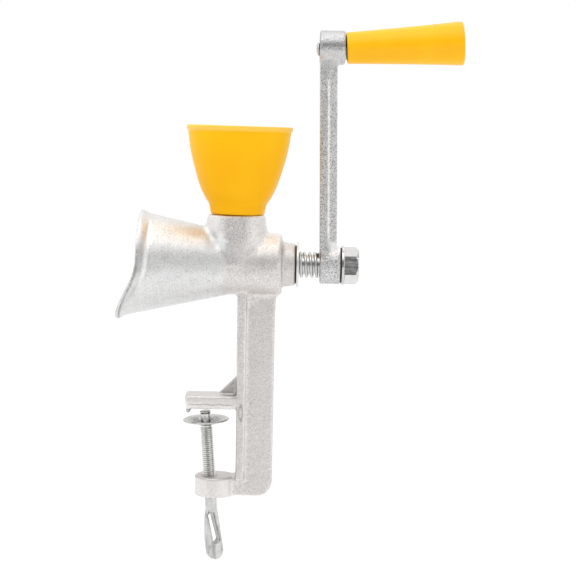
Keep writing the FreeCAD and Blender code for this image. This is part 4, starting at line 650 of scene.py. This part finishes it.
def fill_in(co, edges, me, zone, steps):
    """Round the hollow corners of a zone and leave its outer edges sharp."""
    nrm = normals_of(me, co)
    d = melt(co, edges, zone, steps) - co
    out = np.clip(np.sum(d * nrm, axis=1), 0, None)
    return co + nrm * out[:, None]


RIM = (
    (0, -45.0), (16, -45.1), (43, -45.3), (57, -45.5), (70, -45.6), (81, -45.65), (92, -46.1), (101, -47.5),
    (111, -50.0), (121, -53.0), (131, -55.6), (141, -57.6), (150, -58.8), (160, -59.5), (180, -60.0),
)


def from_mouth(mm):
    """Distance behind the mouth's edge, and how far a point stands off the hood's cone."""
    x, y, z = mm[:, 0], mm[:, 1], mm[:, 2]
    a = np.degrees(np.arctan2(np.abs(y), z - SHAFT_Z))
    edge = np.interp(a, [r[0] for r in RIM], [r[1] for r in RIM])
    return x - edge, np.hypot(y, z - SHAFT_Z) - (19.8 + 0.216 * (8.0 - x))


def mark_lip(me, co):
    d, off = from_mouth(co * 1000.0)
    at = me.attributes.new("lip", "FLOAT", "POINT")
    at.data.foreach_set("value", np.clip(d, 0, 20) + 30.0 * (off < -1.2))


def shape_body(co, edges, me):
    mm = co * 1000.0
    x, y, z = mm[:, 0], mm[:, 1], mm[:, 2]
    rad = np.hypot(y, z - SHAFT_Z)
    neck_r = np.hypot(x - 13.95, y)
    inner = ((rad < 17.0) & (x > -3) & (x < 52)) | ((neck_r < 16.2) & (z > 100))
    seat = (np.abs(z) < 1.2) & (x > -15.5) & (x < 15.5) & (np.abs(y) < 10.5)
    hood = (x < 6.0) & (z > 50)
    # the post's drafted sides
    dx = -0.45 * ramp01(z, 12, 34) * (1 - ramp01(x, 17.0, 20.5)) * (z < 74) * (x > 14.5) * (np.abs(y) < 10.6)
    dx = dx + 0.42 * ramp01(z, 52, 68) * ramp01(x, 33.0, 37.5) * (z < 76) * (np.abs(y) < 7.5) * (rad > 17.5)
    co = co.copy()
    co[:, 0] += dx * MM
    w = np.ones(len(co))
    w[hood] = 0.40
    w[inner] = 0.25
    co = relax(co, edges, w, 5)
    # outer edges are only a little rounded, less on the jaw
    m = np.where(z < 60, 0.22, 0.12)
    m = m * np.where((z < 9.5) & (z > -4) & (x < 15), 0.35, 1.0)
    m[hood] = 0.03
    m[(x > 44.5) & (rad > 9)] = 0.03
    m[inner] = 0
    m[seat] *= 0.2
    co = melt(co, edges, m, 6)
    deck = ramp01(z, 5.6, 7.6) * (z < 10.5) * (x < 14.5) * (np.abs(y) > 5.0)
    co = melt(co, edges, 0.50 * deck, 6)
    # hollow corners: broad at the neck's foot and the post's top, small elsewhere
    skin = (~inner).astype(float)
    foot = np.exp(-((neck_r - 19.3) / 5.5) ** 2) * ramp01(z, 96.5, 100) * (1 - ramp01(z, 114.5, 118.0)) * skin
    top = ramp01(z, 64.0, 67.5) * (1 - ramp01(z, 75.0, 78.0)) * (np.abs(y) < 15) * (x > 5) * (x < 46) * (rad > 17.6)
    co = fill_in(co, edges, me, np.clip(foot + 0.75 * top, 0, 1), 34)
    jaw = np.exp(-((z - 8.2) / 4.0) ** 2) * np.exp(-((x - 15.0) / 8.0) ** 2) * (np.abs(y) > 7.0) + np.exp(-((x - 15.6) / 3.0) ** 2) * (z > 4) * (z < 28) * (np.abs(y) < 8)
    lug = np.exp(-((z + 43.2) / 4.5) ** 2) * np.exp(-((x - 14.5) / 6.0) ** 2) + np.exp(-((np.hypot(x - 2.75, y) - 12.5) / 3.0) ** 2) * (z < -42) * (x > 8)
    boss = np.exp(-((x - 43.0) / 2.2) ** 2) * (rad > 10)
    step = np.exp(-((x - 8.6) / 2.0) ** 2) * (rad > 18) * (rad < 22)
    co = fill_in(co, edges, me, np.clip(jaw + lug + 0.25 * boss + 0.5 * step, 0, 1) * skin * np.where(seat, 0.0, 1.0), 9)
    # the crease behind the flared lip
    d, off = from_mouth(co * 1000.0)
    outer = hood & (off > -1.2)
    groove = -0.34 * np.exp(-((d - 7.0) / 1.0) ** 2) + 0.20 * np.exp(-((d - 3.6) / 1.5) ** 2)
    groove = groove * ramp01(z, 62.0, 76.0) * (1 - ramp01(z, 112.0, 119.0)) * outer
    nrm = normals_of(me, co)
    co = co + nrm * (groove * MM)[:, None]
    nrm = normals_of(me, co)
    big = skin_noise(co, 210.0, 1)
    mid = skin_noise(co, 640.0, 2)
    rough = np.where(hood, 0.42, 1.0) * np.where(inner, 0.1, 1.0) * np.where(seat, 0.25, 1.0)
    web = (np.abs(y) < 7.5) & (x > 21) & (z < 70)
    amp = (0.050 * big + 0.055 * mid * np.where(web, 1.2, 1.0)) * rough
    return co + nrm * (amp * MM)[:, None]


recast("body_casting", "body_cast_skin", "frame", 0.00077, shape_body, mark_lip)


def shape_arm(co, edges, me):
    mm = co * 1000.0
    x, y, z = mm[:, 0], mm[:, 1], mm[:, 2]
    rh = np.hypot(y, z - SHAFT_Z)
    rp = np.hypot(y, z - 223.3)
    bore = (rh < 7.2) | (rp < 4.6)
    w = np.where(bore, 0.2, 1.0)
    co = relax(co, edges, w, 4)
    root = np.exp(-((rh - 11.8) / 3.0) ** 2) * (z > SHAFT_Z + 5) + np.exp(-((rp - 10.5) / 3.0) ** 2) * (z < 219)
    # the parting line along the arm stands up as a low ridge
    mid_x = 65.7 - 2.35 * (z - SHAFT_Z) / 133.3 + 5.25
    ridge = np.exp(-((x - mid_x) / 0.62) ** 2) * (np.abs(y) > 6.3) * ramp01(z, 103.5, 106.5) * (1 - ramp01(z, 208.5, 211.5))
    m = np.clip(0.16 * np.ones(len(co)) - 0.15 * ridge, 0, 1)
    m[bore] = 0
    co = melt(co, edges, m, 7)
    co = fill_in(co, edges, me, np.clip(root, 0, 1) * (~bore), 20)
    nrm = normals_of(me, co)
    big = skin_noise(co, 260.0, 4)
    mid = skin_noise(co, 760.0, 5)
    amp = (0.050 * big + 0.085 * mid * (1 - 0.7 * ridge)) * np.where(bore, 0.0, 1.0) + 0.30 * ridge
    return co + nrm * (amp * MM)[:, None]


recast("crank_arm", "crank_cast_skin", "crank", 0.00050, shape_arm)

# ------------------------------------------------------------------ hopper
HT = math.radians(0.75)
cup = [(123.7, 17.15), (126.6, 17.85), (129.7, 19.8), (134.6, 22.45), (140.7, 24.8), (148.0, 27.0), (156.1, 29.2), (163.0, 30.55), (167.0, 31.1), (171.3, 31.75)]
out_curve = catmull(cup, 6)
profile = []
profile += corner((106.0, 12.6), (106.0, 13.95), (112.0, 13.95), 1.0)
profile += [(114.0, 13.95), (119.6, 13.95), (120.45, 14.2)]
profile += corner((120.4, 13.8), (120.4, 16.5), (123.7, 17.15), 1.0)
profile += [tuple(q) for q in out_curve]
profile += corner((171.3, 31.75), (171.95, 32.53), (174.55, 32.55), 0.75, 6)
profile += corner((171.8, 32.55), (174.55, 32.55), (174.55, 31.0), 1.0, 7)
profile += corner((174.55, 32.0), (174.55, 30.2), (170.0, 29.9), 0.5)
profile += [(q[0] + 0.6, q[1] - 1.8) for q in reversed(out_curve[:-2])]
profile += corner((124.3, 15.2), (122.6, 12.4), (112.0, 12.25), 1.4)
profile += corner((112.0, 12.25), (106.0, 12.25), (106.0, 13.5), 0.4, 3)


def cup_wobble(s, t, r):
    return 0.035 * math.sin(2 * t + 0.7) * max(0.0, (s - 126.0) / 48.0)


verts, faces = lathe(profile, ((13.95 + 0.45 - 120.3 * math.sin(HT), 0, 0.25), (math.sin(HT), 0, math.cos(HT)), (math.cos(HT), 0, -math.sin(HT)), (0, 1, 0)), 160, cup_wobble)
fix_normals(new_piece("hopper_cup", verts, faces, "hopper", "hopper"))

# ------------------------------------------------------------------ grip and pin, on the pin's leaning axis
LEAN = math.radians(3.4)
PIN = (63.1, 0.0, SHAFT_Z + 133.3 - 1.1)
PAX = (math.cos(LEAN), 0, math.sin(LEAN))
PFR = (PIN, PAX, (-math.sin(LEAN), 0, math.cos(LEAN)), (0, -1, 0))
G0, GL, GS, GB = 16.5, 71.2, 9.5, 13.3
side = catmull([(G0 + 0.9, GS), (G0 + GL * 0.25, GS + (GB - GS) * 0.215), (G0 + GL * 0.5, GS + (GB - GS) * 0.455), (G0 + GL * 0.75, GS + (GB - GS) * 0.715), (G0 + GL - 2.4, GB - 0.02)], 8)
profile = corner((G0, 5.0), (G0, GS), (G0 + 3.0, GS + 0.15), 0.9)
profile += [tuple(q) for q in side[1:]]
profile += corner((G0 + GL - 4.0, GB), (G0 + GL, GB), (G0 + GL, 9.0), 1.7, 7)
profile += corner((G0 + GL, 9.0), (G0 + GL, 7.2), (G0 + GL - 3.0, 7.2), 0.5, 4)
profile += corner((G0 + GL - 4.0, 7.2), (G0 + GL - 6.0, 7.2), (G0 + GL - 6.0, 5.0), 0.4, 3)
profile += [(G0 + GL - 6.0, 3.6), (G0 + GL * 0.5, 3.6), (G0 + 0.4, 3.6), (G0, 4.0)]
verts, faces = lathe(profile, PFR, 112)
grip = new_piece("grip_moulded", verts, faces, "crank_grip", "grip")
fix_normals(grip)
grip.data.materials[0] = GRIP


def peened(s, t, r):
    k = max(0.0, -s) / 2.0
    return 0.16 * k * math.sin(3 * t + 1.0) + 0.10 * k * math.sin(5 * t)


LEN = G0 + GL - 1.2
profile = [(-1.95, 0.02), (-1.9, 1.5), (-1.7, 2.7), (-1.3, 3.7), (-0.85, 4.2), (-0.45, 4.3), (-0.36, 4.0), (-0.36, 3.5)]
profile += [(4.0, 3.49), (12.0, 3.49), (40.0, 3.49), (LEN - 3.0, 3.49)]
profile += corner((LEN - 3.0, 4.0), (LEN - 3.0, 6.0), (LEN - 1.0, 6.0), 0.3, 3)
profile += [(LEN - 1.2, 5.95), (LEN - 0.6, 5.5), (LEN - 0.2, 4.4), (LEN - 0.02, 2.6), (LEN, 0.02)]
verts, faces = lathe(profile, PFR, 56, peened)
fix_normals(new_piece("grip_rivet", verts, faces, "grip_pin", "crank"))

# ------------------------------------------------------------------ spring with closed, ground-looking ends
SP0, SP1, SR, WIRE = 52.90, 65.45, 7.20, 0.95
turns, seg, ring_n = 4.1, 84, 14
total = int(turns * seg)
span_free = (SP1 - SP0) - 2 * WIRE


def spring_station(u):
    """Axial place along the wire, 0 to 1: flat end coils and an even pitch between them."""
    e = 0.55 / turns
    if u < e:
        return 0.42 * (u / e) ** 2 * (2 * WIRE) * 0.72
    if u > 1 - e:
        return span_free - 0.42 * ((1 - u) / e) ** 2 * (2 * WIRE) * 0.72
    a, b = 0.42 * 2 * WIRE * 0.72, span_free - 0.42 * 2 * WIRE * 0.72
    return a + (b - a) * (u - e) / (1 - 2 * e)


verts, faces = [], []
pts = []
for i in range(total + 1):
    u = i / total
    t = 2 * math.pi * turns * u + 0.6
    pts.append(np.array((SP0 + WIRE + spring_station(u), SR * math.cos(t), SHAFT_Z + SR * math.sin(t))))
for i, p in enumerate(pts):
    d = pts[min(i + 1, total)] - pts[max(i - 1, 0)]
    d /= np.linalg.norm(d)
    rdir = np.array((0.0, p[1], p[2] - SHAFT_Z))
    rdir /= np.linalg.norm(rdir)
    b = np.cross(d, rdir)
    w = WIRE
    if i < 3 or i > total - 3:
        w = WIRE * (0.80 + 0.066 * min(i, total - i))
    for k in range(ring_n):
        a = 2 * math.pi * k / ring_n
        q = p + (rdir * math.cos(a) + b * math.sin(a)) * w
        q[0] = min(max(q[0], SP0 + 0.02), SP1 - 0.02)
        verts.append(q * MM)
for i in range(total):
    for k in range(ring_n):
        k2 = (k + 1) % ring_n
        faces.append((i * ring_n + k, i * ring_n + k2, (i + 1) * ring_n + k2, (i + 1) * ring_n + k))
faces.append(tuple(range(ring_n)))
faces.append(tuple(total * ring_n + k for k in reversed(range(ring_n))))
spring = new_piece("spring_coil", verts, faces, "tension_spring", "shaft")
fix_normals(spring)
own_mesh(spring)

# ------------------------------------------------------------------ dished pressure disc
LEAN_D, DIP = math.radians(2.3), math.radians(1.6)
turn_d = Matrix.Rotation(-LEAN_D, 3, "Y") @ Matrix.Rotation(DIP, 3, "X")
pivot_d = SCREW_AT + SCREW_AX * -10.95
ax_d = turn_d @ Vector((0, 0, 1))
DFR = (pivot_d + ax_d * 10.95, ax_d, turn_d @ Vector((1, 0, 0)), turn_d @ Vector((0, 1, 0)))
under = catmull([(-11.55, 3.7), (-11.52, 4.9), (-10.75, 6.4), (-9.62, 9.2), (-8.88, 12.3), (-8.62, 14.0)], 6)
over = catmull([(-10.36, 3.7), (-10.34, 4.5), (-9.45, 6.1), (-8.42, 8.9), (-7.72, 12.0), (-7.60, 13.2)], 6)
profile = [(-11.55, 3.38)] + [tuple(q) for q in under]
profile += [(-8.52, 14.28), (-8.30, 14.46), (-8.02, 14.42), (-7.78, 14.12), (-7.64, 13.7)]
profile += [tuple(q) for q in reversed(over)]
profile += [(-10.36, 3.38)]


def disc_wobble(s, t, r):
    k = max(0.0, (r - 8.0) / 6.0)
    return (0.05 * math.sin(3 * t + 0.4) - 0.05) * k


verts, faces = lathe(profile, DFR, 96, disc_wobble)
dish = new_piece("clamp_dish", verts, faces, "pressure_disc", "clamp_pad")
fix_normals(dish)
dish.data.materials[0] = DISHED
rel = coords(dish.data) * 1000.0 - np.array(DFR[0])
sta = rel @ np.array(DFR[1])
out_r = np.hypot(rel @ np.array(DFR[2]), rel @ np.array(DFR[3]))
mid_s = 0.5 * (np.interp(out_r, [q[1] for q in under], [q[0] for q in under]) + np.interp(out_r, [q[1] for q in over], [q[0] for q in over]))
# painted shade mask: the dish's hollow round the screw
shade_mask = (sta > mid_s) * (1 - ramp01(out_r, 6.5, 13.0))
dish.data.attributes.new("shade_mask", "FLOAT", "POINT").data.foreach_set("value", shade_mask)

# ------------------------------------------------------------------ clamp screw: threaded rod and forged eye
T_LOW, T_HIGH, PITCH, ROOT, CREST = -57.1, -12.6, 1.25, 3.27, 4.0
SFR = (SCREW_AT, SCREW_AX, (math.cos(LEAN_S), 0, math.sin(LEAN_S)), (0, 1, 0))


def thread_ridge(s, t, r):
    if s > T_HIGH + 0.05 or s < T_LOW - 0.45:
        return 0.0
    f = ((s - T_LOW) / PITCH - t / (2 * math.pi)) % 1.0
    k = min(1.0, f / 0.33, max(0.0, (0.95 - f) / 0.33))
    ends = min(1.0, max(0.0, (s - T_LOW + 0.4) / 0.9), max(0.0, (T_HIGH - s) / 0.9))
    return max(0.0, (CREST - ROOT + 0.25) * k - 0.25) * ends


profile = [(-2.45, 0.02), (-2.46, 2.7), (-2.62, 3.05), (-2.9, 3.38), (-3.3, 3.48), (-3.6, 3.40), (-3.75, 3.15)]
profile += [(-5.0, 3.15), (-7.0, 3.15), (-9.0, 3.15), (-11.0, 3.15), (-11.9, 3.15), (-11.93, 3.45), (-12.3, 3.40)]
rows = int((T_HIGH + 57.5) / 0.125)
profile += [(T_HIGH - (T_HIGH + 57.5) * k / rows, ROOT) for k in range(rows + 1)]
profile += [(-57.58, ROOT), (-57.58, 0.02)]
verts, faces = lathe(profile, SFR, 60, thread_ridge)
rod = new_piece("screw_rod", verts, faces, "clamp_screw", "clamp_spindle")
fix_normals(rod)
rod.data.materials[0] = THREAD


NODE_LOW = min(v.co.z for v in NODES["clamp_screw"].data.vertices)


def shape_eye(co, edges, me):
    run = (co * 1000.0 - np.array(SCREW_AT)) @ np.array(SCREW_AX)
    free = ramp01(-run, 58.2, 59.2)
    low = NODE_LOW
    co = relax(co, edges, free, 10)
    # the hammered edges of the slot and the paddle are soft
    co = melt(co, edges, 0.55 * free * ramp01(-run, 64.0, 69.0), 15)
    shoulder = np.exp(-((run + 67.5) / 3.0) ** 2) * free
    co = fill_in(co, edges, me, np.clip(shoulder, 0, 1), 60)
    nrm = normals_of(me, co)
    amp = (0.080 * skin_noise(co, 160.0, 7) + 0.030 * skin_noise(co, 520.0, 8)) * free * ramp01(-run, 62.0, 70.0)
    co = co + nrm * ((amp - 0.05 * free) * MM)[:, None]
    co[:, 2] = np.maximum(co[:, 2], low + 0.02 * MM)
    return co


def mark_slot(me, co):
    """How near a point is to the slot through the eye."""
    rel = co * 1000.0 - np.array(SCREW_AT)
    run, a, b = (rel @ np.array(q) for q in SFR[1:])
    flat = run < -70.0
    wide = np.linalg.eigh(np.cov(np.vstack((a[flat], b[flat]))))[1][:, -1]
    wide = wide * np.sign(wide[0])
    u = a * wide[0] + b * wide[1]
    t = np.clip(((run + 69.4) * -15.0 + (u + 1.75) * 2.6) / (15.0 ** 2 + 2.6 ** 2), 0, 1)
    gap = np.hypot(run + 69.4 + 15.0 * t, u + 1.75 - 2.6 * t) - (1.9 + 0.5 * t)
    at = me.attributes.new("shade_mask", "FLOAT", "POINT")
    at.data.foreach_set("value", 1 - ramp01(gap, 0.2, 1.5))


eye = recast("clamp_screw", "screw_eye", "clamp_spindle", 0.00027, shape_eye, mark_slot, cut=((SCREW_AT + SCREW_AX * -57.5) * MM, SCREW_AX))
eye.data.materials[0] = FORGED

# ------------------------------------------------------------------ edges of the turned hardware
for node, width in (("hex_nut", 0.28), ("nut_washer", 0.18), ("thrust_washer", 0.22), ("burr_washer", 0.2), ("burr_screw", 0.15), ("hub_fibre_washer", 0.1), ("boss_fibre_washer", 0.1)):
    ob = NODES[node]
    weld = ob.modifiers.new("weld", "WELD")
    weld.merge_threshold = 1e-6
    bev = ob.modifiers.new("edges", "BEVEL")
    bev.width = width * MM
    bev.segments = 3
    bev.limit_method = "ANGLE"
    bev.angle_limit = math.radians(25)
    bev.harden_normals = False

# ------------------------------------------------------------------ floor, light, camera


def stage_floor():
    me = bpy.data.meshes.new("studio_floor")
    s, zf = 6.0, -0.30
    me.from_pydata([(-s, -s, zf), (s, -s, zf), (s, s, zf), (-s, s, zf)], [], [(0, 1, 2, 3)])
    ob = bpy.data.objects.new("studio_floor", me)
    scene.collection.objects.link(ob)
    n = Net("floor_paper")
    cloud = n.noise(3.0, 3.0)
    n.color(n.ramp(cloud, [(0.3, (0.81, 0.81, 0.81)), (0.7, (0.835, 0.835, 0.835))]))
    n.rough(n.span(cloud, 0.3, 0.7, 0.85, 0.95))
    n.set(Emission_Color=(1.0, 1.0, 1.0, 1.0), Emission_Strength=0.05)
    me.materials.append(n.mat)


stage_floor()

world = bpy.data.worlds.new("studio")
scene.world = world
world.use_nodes = True
wt = world.node_tree
wt.nodes.clear()
wo = wt.nodes.new("ShaderNodeOutputWorld")
bg = wt.nodes.new("ShaderNodeBackground")
wt.links.new(bg.outputs[0], wo.inputs[0])
tc = wt.nodes.new("ShaderNodeTexCoord")
# a white tent, brighter overhead, with a dim opening on the front side and a fainter one to the right


def toward(way, stops):
    """A smooth change of brightness with the direction's nearness to way."""
    dot = wt.nodes.new("ShaderNodeVectorMath")
    dot.operation = "DOT_PRODUCT"
    wt.links.new(tc.outputs["Generated"], dot.inputs[0])
    dot.inputs[1].default_value = Vector(way).normalized()
    mr = wt.nodes.new("ShaderNodeMapRange")
    mr.interpolation_type = "SMOOTHSTEP"
    for k, v in zip(("From Min", "From Max", "To Min", "To Max"), (math.cos(math.radians(stops[0])), math.cos(math.radians(stops[1])), stops[2], stops[3])):
        mr.inputs[k].default_value = v
    wt.links.new(dot.outputs["Value"], mr.inputs["Value"])
    return mr.outputs["Result"]


def join(op, a, b):
    m = wt.nodes.new("ShaderNodeMath")
    m.operation = op
    wt.links.new(a, m.inputs[0])
    wt.links.new(b, m.inputs[1])
    return m.outputs[0]


gap_front = toward((-0.20, -0.95, 0.22), (34, 13, 1.0, 0.10))
gap_right = toward((0.86, -0.36, 0.36), (28, 10, 1.0, 0.50))
roof = toward((0.0, 0.10, 1.0), (58, 25, 0.0, 0.55))
level = join("ADD", join("MULTIPLY", gap_front, gap_right), roof)
# seen directly, the tent is plain white all round
seen = wt.nodes.new("ShaderNodeLightPath")
pick = wt.nodes.new("ShaderNodeMix")
pick.data_type = "FLOAT"
wt.links.new(seen.outputs["Is Camera Ray"], pick.inputs[0])
wt.links.new(level, pick.inputs[2])
pick.inputs[3].default_value = 1.0
wt.links.new(pick.outputs[0], bg.inputs["Strength"])
bg.inputs["Color"].default_value = (1.0, 1.0, 1.0, 1.0)


def area(name, loc, target, size, power):
    li = bpy.data.lights.new(name, "AREA")
    li.shape = "RECTANGLE"
    li.size, li.size_y = size
    li.energy = power
    ob = bpy.data.objects.new(name, li)
    scene.collection.objects.link(ob)
    ob.location = loc
    d = Vector(target) - Vector(loc)
    ob.rotation_euler = d.to_track_quat("-Z", "Y").to_euler()
    ob.visible_camera = False
    return ob


area("key_top", (-0.35, -0.50, 1.25), (0.04, 0, 0.09), (1.0, 1.0), 4.0)
area("fill_right", (1.3, -0.45, 0.30), (0.05, 0, 0.08), (0.6, 1.1), 1.1)

cam = bpy.data.cameras.new("view")
cam.sensor_width = 36.0
cam.lens = 1572.0 / 576.0 * 36.0
cam.clip_start, cam.clip_end = 0.01, 50.0
cam_ob = bpy.data.objects.new("view", cam)
scene.collection.objects.link(cam_ob)
pitch, roll, dist = math.radians(5.85), math.radians(1.1), 0.975
fwd = Vector((0, math.cos(pitch), -math.sin(pitch)))
right = Vector((1, 0, 0))
up = Vector((0, math.sin(pitch), math.cos(pitch)))
r2 = right * math.cos(roll) + up * math.sin(roll)
u2 = up * math.cos(roll) - right * math.sin(roll)
look = Vector((0.0465, 0.0, 0.0753))
pos = look - fwd * dist
cam_ob.matrix_world = Matrix(((r2.x, u2.x, -fwd.x, pos.x), (r2.y, u2.y, -fwd.y, pos.y), (r2.z, u2.z, -fwd.z, pos.z), (0, 0, 0, 1)))
scene.camera = cam_ob
